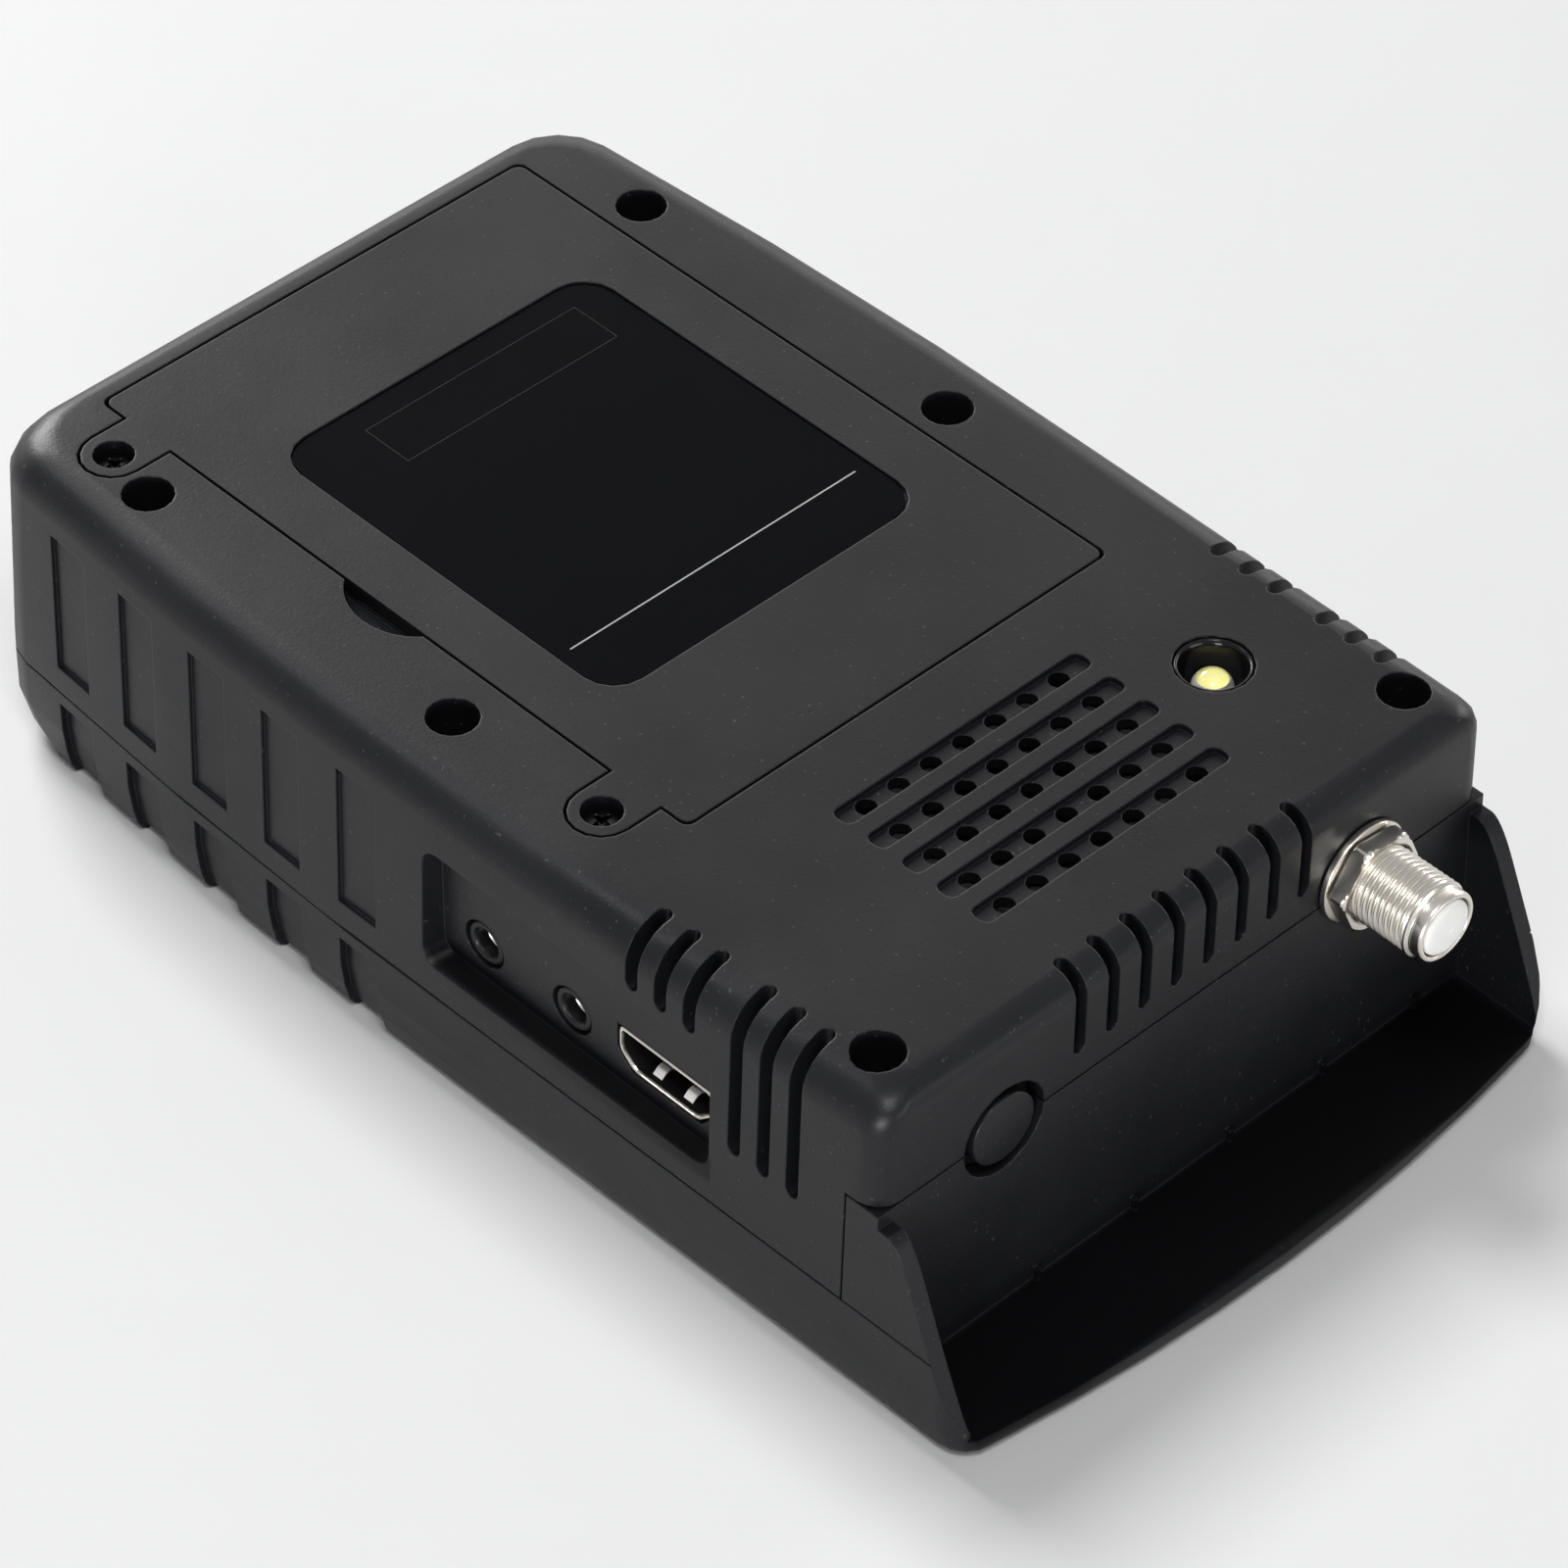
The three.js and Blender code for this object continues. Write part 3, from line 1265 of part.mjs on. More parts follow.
add("main_board", mainBoard(), boardGreen);
add("tuner_can", tunerCan(), brightTin);
add("lcd_panel", lcdPanel(), darkSteel);
add("screen_lens", screenLens(), glass);
add("front_board", frontBoard(), boardGreen);
add("key_mat", keyMat(), keyRubber);
[-1, 1].forEach((side, i) => add("indicator_" + (i + 1), indicator(side), lightPipe));

const keypad = new THREE.Group();
keyPlaces.forEach((place, i) => {
  keypad.add(toMesh("key_" + String(i + 1).padStart(2, "0"), key(place), keyRubber));
});
meter.add(keypad);

export default meter;
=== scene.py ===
import math

import bpy
import numpy as np
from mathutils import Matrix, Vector


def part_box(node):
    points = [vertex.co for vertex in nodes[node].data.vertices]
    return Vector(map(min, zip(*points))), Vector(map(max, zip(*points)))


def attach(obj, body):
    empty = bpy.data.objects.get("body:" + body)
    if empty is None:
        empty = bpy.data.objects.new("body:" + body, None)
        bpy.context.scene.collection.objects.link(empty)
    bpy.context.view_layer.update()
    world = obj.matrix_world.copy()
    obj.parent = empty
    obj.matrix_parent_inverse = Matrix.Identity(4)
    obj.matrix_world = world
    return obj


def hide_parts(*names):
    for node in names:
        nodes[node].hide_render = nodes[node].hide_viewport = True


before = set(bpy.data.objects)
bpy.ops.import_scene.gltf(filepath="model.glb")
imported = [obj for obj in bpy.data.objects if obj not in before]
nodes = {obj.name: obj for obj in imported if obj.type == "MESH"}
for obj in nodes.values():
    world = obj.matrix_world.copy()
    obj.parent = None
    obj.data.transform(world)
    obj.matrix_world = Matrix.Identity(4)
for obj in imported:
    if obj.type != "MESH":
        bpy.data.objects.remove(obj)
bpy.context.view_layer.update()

# A hand-held signal meter lying on its front face. Sizes are in millimetres unless a name or a
# comment says otherwise; METRE and MICRON turn millimetres and microns into metres.
METRE = 0.001
MICRON = 0.000001

# Places on the case
END_FACE_X = 66.3
BACK_Z = 44.5
CONNECTOR_CENTRE = (0, 26.35, 31.8)
PLUG_CENTRE = (0, -28.4, 29.8)
TORCH_CENTRE = (41.8, 28.4, 0)
LED_TOP, LED_RADIUS = BACK_Z - 1.2, 2.5
DOOR_SCREW_XS, DOOR_SCREW_Y = (-68.3, 12.9), -36.4
CASE_SCREW_PAIRS = ((-60.4, 38.0), (-9.2, 38.0), (59.1, 40.3))
LABEL_X, LABEL_Y = -27.7, 0.8
POCKET_FLOOR_Y = -45.4
JACK_XS, JACK_Z = (3.5, 17.6), 23.9
VIDEO_X, VIDEO_Z = 32.4, 24.35
KEY_COUNT = 16


# Meshes from whole arrays

def grid_faces(rows, columns):
    """Quads of a grid whose columns close on themselves: corner (r, c) joins (r, c+1), (r+1, c+1)
    and (r+1, c)."""
    row, column = np.meshgrid(np.arange(rows - 1), np.arange(columns), indexing="ij")
    beside = (column + 1) % columns
    corners = [row * columns + column, row * columns + beside,
               (row + 1) * columns + beside, (row + 1) * columns + column]
    return np.stack(corners, axis=-1).reshape(-1, 4)


def welded(points, faces):
    """Corners within a tenth of a micron become one. Quads that close up at a pole become
    triangles, and faces that close up further go."""
    keys = np.round(points * 1e4).astype(np.int64)
    unused, first, inverse = np.unique(keys, axis=0, return_index=True, return_inverse=True)
    faces = inverse.reshape(-1)[faces]
    same = faces == np.roll(faces, -1, axis=1)
    whole = faces[same.sum(axis=1) == 0]
    closed = faces[same.sum(axis=1) == 1]
    shift = np.argmax(same[same.sum(axis=1) == 1], axis=1)
    order = (shift[:, None] + np.arange(1, faces.shape[1])) % faces.shape[1]
    return points[first], whole, np.take_along_axis(closed, order, axis=1)


def fill_mesh(name, points, *face_sets):
    """A mesh object from corner places and sets of faces, each an array of equal-sided faces."""
    face_sets = [faces for faces in face_sets if len(faces)]
    mesh = bpy.data.meshes.new(name)
    mesh.vertices.add(len(points))
    mesh.vertices.foreach_set("co", (points * METRE).astype(np.float32).ravel())
    corners = np.concatenate([faces.ravel() for faces in face_sets]).astype(np.int32)
    sizes = np.concatenate([np.full(len(faces), faces.shape[1]) for faces in face_sets])
    mesh.loops.add(len(corners))
    mesh.loops.foreach_set("vertex_index", corners)
    mesh.polygons.add(len(sizes))
    mesh.polygons.foreach_set("loop_start", (np.cumsum(sizes) - sizes).astype(np.int32))
    mesh.polygons.foreach_set("use_smooth", np.ones(len(sizes), bool))
    mesh.update(calc_edges=True)
    mesh.validate()
    piece = bpy.data.objects.new(name, mesh)
    bpy.context.scene.collection.objects.link(piece)
    return piece


def finish_piece(piece, material, body="case", stands_for=(), crease=35):
    """Gives a piece its material and body. Edges turned by more than crease degrees stay
    sharp, and the rest shade smooth."""
    piece.data.materials.clear()
    piece.data.materials.append(material)
    piece.data.set_sharp_from_angle(angle=math.radians(crease))
    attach(piece, body)
    if stands_for:
        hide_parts(*stands_for)
    return piece


def joined_copy(node, material, body):
    """The node's own surface with its loose triangles joined, so that it shades as one skin with
    crisp edges."""
    source = nodes[node].data
    places = np.empty(len(source.vertices) * 3, np.float32)
    source.vertices.foreach_get("co", places)
    corners = np.empty(len(source.loops), np.int32)
    source.loops.foreach_get("vertex_index", corners)
    points, faces, unused = welded(places.reshape(-1, 3).astype(float) / METRE,
                                   corners.reshape(-1, 3))
    piece = fill_mesh(node + "_skin", points, faces)
    even = piece.modifiers.new("even_shading", "WEIGHTED_NORMAL")
    even.mode = "FACE_AREA"
    even.weight = 60
    even.keep_sharp = True
    return finish_piece(piece, material, body, (node,))


def eased(profile, ease, steps=3):
    """A profile whose inner corners become short curves: each is a blend of its two legs, cut back
    by ease."""
    profile = np.asarray(profile, float)
    before, corner, after = profile[:-2], profile[1:-1], profile[2:]
    leg_in = np.linalg.norm(corner - before, axis=1, keepdims=True)
    leg_out = np.linalg.norm(after - corner, axis=1, keepdims=True)
    back = np.minimum(ease, np.minimum(leg_in, leg_out) * 0.45)
    start = corner + (before - corner) * back / np.maximum(leg_in, 1e-9)
    stop = corner + (after - corner) * back / np.maximum(leg_out, 1e-9)
    t = np.linspace(0, 1, steps + 1)[None, :, None]
    curve = ((1 - t) ** 2 * start[:, None] + 2 * t * (1 - t) * corner[:, None]
             + t ** 2 * stop[:, None])
    return np.vstack([profile[:1], curve.reshape(-1, 2), profile[-1:]])


def turned_grid(profile, centre, along, columns, ripple=None):
    """Corners and quads of a turned surface: each profile point (radius, height) runs once round
    the axis through centre. ripple(height, angle, radius) may change the radius."""
    profile = np.asarray(profile, float)
    angle = np.linspace(0, 2 * math.pi, columns, endpoint=False)
    radius = np.repeat(profile[:, :1], columns, axis=1)
    height = np.repeat(profile[:, 1:], columns, axis=1)
    if ripple is not None:
        radius = ripple(height, angle[None, :], radius)
    across, upright = radius * np.cos(angle), radius * np.sin(angle)
    order = {"x": (height, across, upright), "y": (upright, height, across),
             "z": (across, upright, height)}[along]
    points = np.stack(order, axis=-1).reshape(-1, 3) + np.asarray(centre, float)
    return points, grid_faces(len(profile), columns)


def turned(name, profile, centre, along, columns, ripple=None):
    """A piece with one turned surface. Its profile runs anticlockwise as seen with the axis upright
    on the left, or the faces are turned over: the sum of (radius + next radius) * rise tells."""
    profile = np.asarray(profile, float)
    rising = np.sum((profile[:-1, 0] + profile[1:, 0]) * np.diff(profile[:, 1]))
    points, faces = turned_grid(profile, centre, along, columns, ripple)
    return fill_mesh(name, *welded(points, faces if rising >= 0 else faces[:, ::-1]))


# Shared effects

def feed(tree, value, socket):
    """Links a socket's value to another socket, or sets a plain number or a colour there."""
    if isinstance(value, bpy.types.NodeSocket):
        tree.links.new(value, socket)
    elif isinstance(value, tuple):
        socket.default_value = (*value, 1.0)
    else:
        socket.default_value = value


def effect_group(name, inputs, outputs):
    """An empty shader node group with named number sockets, and its two end nodes. The Place input
    is a vector."""
    group = bpy.data.node_groups.new(name, "ShaderNodeTree")
    group.interface.new_socket("Place", in_out="INPUT", socket_type="NodeSocketVector")
    for label, value in inputs:
        socket = group.interface.new_socket(label, in_out="INPUT", socket_type="NodeSocketFloat")
        socket.default_value = value
    for label in outputs:
        group.interface.new_socket(label, in_out="OUTPUT", socket_type="NodeSocketFloat")
    return group, group.nodes.new("NodeGroupInput"), group.nodes.new("NodeGroupOutput")


def math_node(tree, operation, *terms):
    """One math node; each term is a socket or a number."""
    node = tree.nodes.new("ShaderNodeMath")
    node.operation = operation
    for index, term in enumerate(terms):
        feed(tree, term, node.inputs[index])
    return node.outputs[0]


def noise_node(tree, place, scale, detail, roughness=0.5):
    """Smooth noise at a place; scale is a socket or a number per metre."""
    node = tree.nodes.new("ShaderNodeTexNoise")
    for label, value in (("Vector", place), ("Scale", scale), ("Detail", detail),
                         ("Roughness", roughness)):
        feed(tree, value, node.inputs[label])
    return node.outputs["Fac"]


SPECK_LEVEL, SPECK_SLOPE = 0.79, 25.0


def make_moulded_grain():
    """Spark-eroded grain: fine noise over coarser noise for height, and slow noise for how it was
    handled. Specks are the rare peaks of a third noise."""
    group, start, end = effect_group("moulded_grain", [
        ("Grain per Metre", 2600.0), ("Coarse Share", 0.35), ("Patch per Metre", 38.0),
    ], ["Height", "Patches", "Specks"])
    place, per_metre = start.outputs["Place"], start.outputs["Grain per Metre"]
    fine = noise_node(group, place, per_metre, 3.0, 0.6)
    coarse = noise_node(group, place, math_node(group, "MULTIPLY", per_metre, 0.4), 1.0)
    height = math_node(group, "MULTIPLY_ADD", coarse, start.outputs["Coarse Share"], fine)
    group.links.new(height, end.inputs["Height"])
    patches = noise_node(group, place, start.outputs["Patch per Metre"], 4.0, 0.6)
    group.links.new(patches, end.inputs["Patches"])
    dots = noise_node(group, place, math_node(group, "MULTIPLY", per_metre, 0.7), 0.0)
    peaks = math_node(group, "SUBTRACT", dots, SPECK_LEVEL)
    peaks = math_node(group, "MULTIPLY", peaks, SPECK_SLOPE)
    peaks = math_node(group, "MINIMUM", math_node(group, "MAXIMUM", peaks, 0.0), 1.0)
    group.links.new(peaks, end.inputs["Specks"])
    return group


def make_turning_marks():
    """Fine lathe rings: noise read on a place squeezed across the axis, so that it changes only
    along it."""
    group, start, end = effect_group("turning_marks", [
        ("Rings per Metre", 9000.0), ("Stain per Metre", 220.0),
    ], ["Height", "Stain"])
    squeeze = group.nodes.new("ShaderNodeVectorMath")
    squeeze.operation = "MULTIPLY"
    squeeze.inputs[1].default_value = (1.0, 0.02, 0.02)
    group.links.new(start.outputs["Place"], squeeze.inputs[0])
    rings = noise_node(group, squeeze.outputs[0], start.outputs["Rings per Metre"], 1.0)
    group.links.new(rings, end.inputs["Height"])
    stain = noise_node(group, start.outputs["Place"], start.outputs["Stain per Metre"], 3.0)
    group.links.new(stain, end.inputs["Stain"])
    return group


MOULDED_GRAIN = make_moulded_grain()
TURNING_MARKS = make_turning_marks()


# Parts of materials

def new_material(name, **sockets):
    """A material with its shader, and the object's own places for its patterns."""
    material = bpy.data.materials.new(name)
    material.use_nodes = True
    tree = material.node_tree
    shader = tree.nodes["Principled BSDF"]
    for label, value in sockets.items():
        label = label.replace("_", " ").title().replace("Ior", "IOR")
        shader.inputs[label].default_value = value
    place = tree.nodes.new("ShaderNodeTexCoord").outputs["Object"]
    return material, tree, shader, place


def placed_group(tree, group, place, grain=None):
    """The outputs of a shared effect at a place, with its own grain per metre if one is given."""
    node = tree.nodes.new("ShaderNodeGroup")
    node.node_tree = group
    tree.links.new(place, node.inputs["Place"])
    if grain is not None:
        node.inputs["Grain per Metre"].default_value = grain
    return node.outputs


# Where noise has most of its values
NOISE_LOW, NOISE_HIGH = 0.3, 0.7


def between(tree, amount, low, high):
    """A number that goes from low to high as noise goes through most of its values."""
    node = tree.nodes.new("ShaderNodeMapRange")
    for label, value in (("Value", amount), ("From Min", NOISE_LOW), ("From Max", NOISE_HIGH),
                         ("To Min", low), ("To Max", high)):
        feed(tree, value, node.inputs[label])
    return node.outputs["Result"]


def colour_between(tree, amount, low, high):
    """A colour that goes from low to high as amount goes from 0 to 1; both are sockets or plain
    colours."""
    node = tree.nodes.new("ShaderNodeMix")
    node.data_type = "RGBA"
    first_colour, second_colour, mixed_colour = node.inputs[6], node.inputs[7], node.outputs[2]
    feed(tree, amount, node.inputs["Factor"])
    feed(tree, low, first_colour)
    feed(tree, high, second_colour)
    return mixed_colour


def bump(tree, shader, height, microns, strength, edge=0.0):
    """Height on the surface, microns deep; edge is the radius over which hard edges look round."""
    node = tree.nodes.new("ShaderNodeBump")
    node.inputs["Distance"].default_value = microns * MICRON
    node.inputs["Strength"].default_value = strength
    tree.links.new(height, node.inputs["Height"])
    if edge:
        soft = tree.nodes.new("ShaderNodeBevel")
        soft.samples = 6
        soft.inputs["Radius"].default_value = edge * METRE
        tree.links.new(soft.outputs["Normal"], node.inputs["Normal"])
    tree.links.new(node.outputs["Normal"], shader.inputs["Normal"])


def away_from(tree, along, middle):
    """How far along lies from middle, in metres."""
    return math_node(tree, "ABSOLUTE", math_node(tree, "SUBTRACT", along, middle * METRE))


def split_place(tree, place):
    """The x, y and z of a place."""
    parts = tree.nodes.new("ShaderNodeSeparateXYZ")
    tree.links.new(place, parts.inputs[0])
    return tuple(parts.outputs)


def painted_shade_box_mask(tree, place, middles, halves, softs):
    """1 inside a box and 0 outside it: the product over the three axes of a ramp that falls from 1
    at half a side from the middle to 0 at soft beyond it."""
    mask = 1.0
    for along, middle, half, soft in zip(split_place(tree, place), middles, halves, softs):
        ramp = tree.nodes.new("ShaderNodeMapRange")
        for label, value in (("Value", away_from(tree, along, middle)),
                             ("From Min", (half + soft) * METRE), ("From Max", half * METRE)):
            feed(tree, value, ramp.inputs[label])
        mask = math_node(tree, "MULTIPLY", ramp.outputs["Result"], mask)
    return mask


# Materials. Colours are linear, and grain is per metre.

# Painted shade where light hardly reaches the case: middles, half sides and soft edges of boxes
POCKET_SILL = ((18.85, -46.4, 18.6), (22.6, 1.0, 1.1), (0.4, 0.9, 1.5))
HOOD_BED = ((73.9, 0.0, 3.2), (7.0, 44.0, 1.0), (1.0, 1.5, 2.0))
# The painted shade's colour, and the share of gloss that the painted shade takes away
PAINTED_SHADE_BLACK, PAINTED_SHADE_DULLING = (0.0030, 0.0032, 0.0038), 0.68
# How round the edges of a moulding look, and how far its roughness drifts
MOULDED_EDGE, ROUGH_BELOW, ROUGH_ABOVE = 0.28, 0.05, 0.07


def moulded_plastic(name, low, high, rough, microns, grain=2600.0, specular=0.32, dust=0.0,
                    painted_shade_boxes=()):
    """Grained moulded plastic: colour and gloss drift in patches, with fine pits and rare specks of
    dust. Inside the boxes of painted shade it is painted blacker and duller."""
    material, tree, shader, place = new_material(name, specular_ior_level=specular)
    effect = placed_group(tree, MOULDED_GRAIN, place, grain)
    colour = colour_between(tree, effect["Patches"], low, high)
    if dust:
        colour = colour_between(tree, effect["Specks"], colour, (dust, dust, dust))
    # Painted shade: inside the boxes the colour goes towards black and the gloss falls
    if painted_shade_boxes:
        shade = 0.0
        for box in painted_shade_boxes:
            shade = math_node(tree, "ADD", painted_shade_box_mask(tree, place, *box), shade)
        colour = colour_between(tree, shade, colour, PAINTED_SHADE_BLACK)
        gloss = math_node(tree, "MULTIPLY_ADD", shade, -PAINTED_SHADE_DULLING * specular, specular)
        tree.links.new(gloss, shader.inputs["Specular IOR Level"])
    tree.links.new(colour, shader.inputs["Base Color"])
    tree.links.new(between(tree, effect["Patches"], rough - ROUGH_BELOW, rough + ROUGH_ABOVE),
                   shader.inputs["Roughness"])
    bump(tree, shader, effect["Height"], microns, 0.8, MOULDED_EDGE)
    return material


def plated_metal(name, low, high, rough, microns=4.0):
    """Plated metal: lathe rings, with a faint stain that dulls it."""
    material, tree, shader, place = new_material(name, metallic=1.0)
    effect = placed_group(tree, TURNING_MARKS, place)
    tree.links.new(colour_between(tree, effect["Stain"], low, high), shader.inputs["Base Color"])
    tree.links.new(between(tree, effect["Stain"], rough * 0.88, rough * 1.15),
                   shader.inputs["Roughness"])
    bump(tree, shader, effect["Height"], microns, 0.6)
    return material


# The label's print: a white line across it, and a much fainter outlined box half as heavy
PRINT_HALF, PRINT_WHITE, OUTLINE_SHARE = 0.1, (0.42, 0.42, 0.42), 0.09
LINE_X, LINE_REACH = LABEL_X + 19.05, 21.9
OUTLINE_X, OUTLINE_Y = LABEL_X - 20.7, LABEL_Y + 2.6
OUTLINE_REACH_X, OUTLINE_REACH_Y = 3.7, 16.2


def make_label_film():
    """Dark film with one white line across it and an empty outlined box, both drawn from the
    label's own place."""
    material, tree, shader, place = new_material("label_film", specular_ior_level=0.03)
    effect = placed_group(tree, MOULDED_GRAIN, place, 1800.0)
    x, y, unused = split_place(tree, place)

    def block(middle_x, half_x, middle_y, half_y):
        """1 where x and y both lie within their halves of their middles."""
        in_x = math_node(tree, "LESS_THAN", away_from(tree, x, middle_x), half_x * METRE)
        in_y = math_node(tree, "LESS_THAN", away_from(tree, y, middle_y), half_y * METRE)
        return math_node(tree, "MULTIPLY", in_x, in_y)

    line = block(LINE_X, PRINT_HALF, LABEL_Y, LINE_REACH)
    outside = block(OUTLINE_X, OUTLINE_REACH_X, OUTLINE_Y, OUTLINE_REACH_Y)
    inside = block(OUTLINE_X, OUTLINE_REACH_X - PRINT_HALF,
                   OUTLINE_Y, OUTLINE_REACH_Y - PRINT_HALF)
    outline = math_node(tree, "SUBTRACT", outside, inside)
    printed = math_node(tree, "MULTIPLY_ADD", outline, OUTLINE_SHARE, line)
    ground = colour_between(tree, effect["Patches"],
                            (0.0022, 0.0024, 0.0030), (0.0030, 0.0033, 0.0041))
    tree.links.new(colour_between(tree, printed, ground, PRINT_WHITE), shader.inputs["Base Color"])
    tree.links.new(between(tree, effect["Patches"], 0.28, 0.33), shader.inputs["Roughness"])
    bump(tree, shader, effect["Height"], 1.5, 0.5)
    return material


def make_milky_plastic():
    """Milky plastic: light sinks in a little, and slow noise clouds it."""
    material, tree, shader, place = new_material(
        "milky_plastic", subsurface_weight=0.3, roughness=0.3,
        subsurface_radius=(0.0012, 0.0011, 0.001))
    effect = placed_group(tree, MOULDED_GRAIN, place, 1500.0)
    white = colour_between(tree, effect["Patches"], (0.91, 0.92, 0.88), (0.96, 0.96, 0.94))
    tree.links.new(white, shader.inputs["Base Color"])
    bump(tree, shader, effect["Height"], 10.0, 0.5)
    return material


def make_phosphor():
    """Yellow phosphor in resin: grains of paler yellow, with a faint painted glow that brightens it
    beyond the lamps' light.
    """
    material, tree, shader, place = new_material("phosphor", roughness=0.6, emission_strength=0.15)
    effect = placed_group(tree, MOULDED_GRAIN, place, 2000.0)
    yellow = colour_between(tree, effect["Height"], (0.86, 0.80, 0.22), (0.97, 0.93, 0.42))
    tree.links.new(yellow, shader.inputs["Base Color"])
    # Painted glow: the phosphor's yellow also feeds a faint emission
    tree.links.new(yellow, shader.inputs["Emission Color"])
    bump(tree, shader, effect["Height"], 20.0, 0.6)
    return material


def make_clear(name, tint, rough, index):
    """Clear moulding with faint ripples."""
    material, tree, shader, place = new_material(name, transmission_weight=1.0, ior=index)
    effect = placed_group(tree, MOULDED_GRAIN, place, 90.0)
    low = tuple(channel * 0.96 for channel in tint)
    tree.links.new(colour_between(tree, effect["Patches"], low, tint), shader.inputs["Base Color"])
    tree.links.new(between(tree, effect["Patches"], rough, rough * 1.5),
                   shader.inputs["Roughness"])
    bump(tree, shader, effect["Height"], 0.8, 0.4)
    return material


def make_solder_mask():
    """Solder mask with copper tracks under it: a brick pattern's lines raise and lighten it."""
    material, tree, shader, place = new_material("solder_mask", roughness=0.35)
    tracks = tree.nodes.new("ShaderNodeTexBrick")
    tracks.inputs["Scale"].default_value = 160.0
    tracks.inputs["Mortar Size"].default_value = 0.06
    tree.links.new(place, tracks.inputs["Vector"])
    green = colour_between(tree, tracks.outputs["Fac"], (0.012, 0.11, 0.045), (0.03, 0.2, 0.08))
    tree.links.new(green, shader.inputs["Base Color"])
    bump(tree, shader, tracks.outputs["Fac"], 30.0, 0.6)
    return material


# The case plastic carries painted shade in the pocket's sill and the hood's bed
CASE_PLASTIC = moulded_plastic(
    "case_plastic", (0.0064, 0.0067, 0.0080), (0.0092, 0.0096, 0.0112), 0.38, 32.0,
    specular=0.31, dust=0.04, painted_shade_boxes=(POCKET_SILL, HOOD_BED))
SMOOTH_BLACK = moulded_plastic(
    "smooth_black", (0.006, 0.006, 0.007), (0.009, 0.009, 0.0095), 0.34, 6.0)
REFLECTOR_BLACK = moulded_plastic(
    "reflector_black", (0.004, 0.004, 0.005), (0.007, 0.007, 0.008), 0.16, 3.0)
KEY_RUBBER = moulded_plastic(
    "key_rubber", (0.05, 0.053, 0.058), (0.065, 0.068, 0.074), 0.68, 15.0, 3400.0)
SLEEVE_BLUE = moulded_plastic(
    "sleeve_blue", (0.02, 0.09, 0.36), (0.03, 0.12, 0.43), 0.3, 8.0, 900.0)
PAPER_CONE = moulded_plastic(
    "paper_cone", (0.02, 0.02, 0.021), (0.035, 0.034, 0.033), 0.8, 40.0, 1400.0)
BRIGHT_NICKEL = plated_metal(
    "bright_nickel", (0.86, 0.81, 0.73), (0.92, 0.88, 0.81), 0.24, 0.8)
BRIGHT_TIN = plated_metal("bright_tin", (0.66, 0.66, 0.65), (0.78, 0.78, 0.76), 0.36)
BLACK_ZINC = plated_metal("black_zinc", (0.045, 0.045, 0.05), (0.085, 0.085, 0.09), 0.36)
SPRING_TIN = plated_metal("spring_tin", (0.9, 0.87, 0.84), (0.97, 0.95, 0.92), 0.62)
CONTACT_GOLD = plated_metal("contact_gold", (0.85, 0.62, 0.28), (0.95, 0.74, 0.38), 0.22)
LABEL_FILM = make_label_film()
MILKY_PLASTIC = make_milky_plastic()
CLEAR_EPOXY = make_clear("clear_epoxy", (0.97, 0.96, 0.9), 0.03, 1.5)
CLEAR_PANE = make_clear("clear_pane", (0.2, 0.21, 0.23), 0.04, 1.49)
PHOSPHOR = make_phosphor()
SOLDER_MASK = make_solder_mask()


# Nodes that keep their own shape, with what they are made of

DOOR_NODES = ("battery_door", "door_label")
SKINS = (
    (CASE_PLASTIC, "case_black", ("rear_shell", "front_shell", "battery_door")),
    (LABEL_FILM, "label_black", ("door_label",)),
    (SMOOTH_BLACK, "socket_black", ("av_jack_1", "av_jack_2", "dc_jack", "battery_cradle")),
    (BRIGHT_TIN, "contact_tin", ("usb_shell", "tuner_can", "battery_contact_1",
                                 "battery_contact_2")),
    (SOLDER_MASK, "board_green", ("main_board", "front_board")),
    (SLEEVE_BLUE, "cell_sleeve", ("battery_cell_1", "battery_cell_2")),
    (MILKY_PLASTIC, "white_insulator", ("usb_tongue",)),
    (SMOOTH_BLACK, "tongue_black", ("hdmi_tongue",)),
    (PAPER_CONE, "speaker_frame", ("speaker",)),
    (REFLECTOR_BLACK, "display_glass", ("lcd_panel",)),
    (CLEAR_PANE, "lens_clear", ("screen_lens",)),
    (KEY_RUBBER, "key_rubber", ("key_mat",)),
    (MILKY_PLASTIC, "light_pipe", ("indicator_1", "indicator_2")),
)
for material, slot, skinned in SKINS:
    for node in skinned:
        joined_copy(node, material, "door" if node in DOOR_NODES else "case")


# Screws with a cross drive

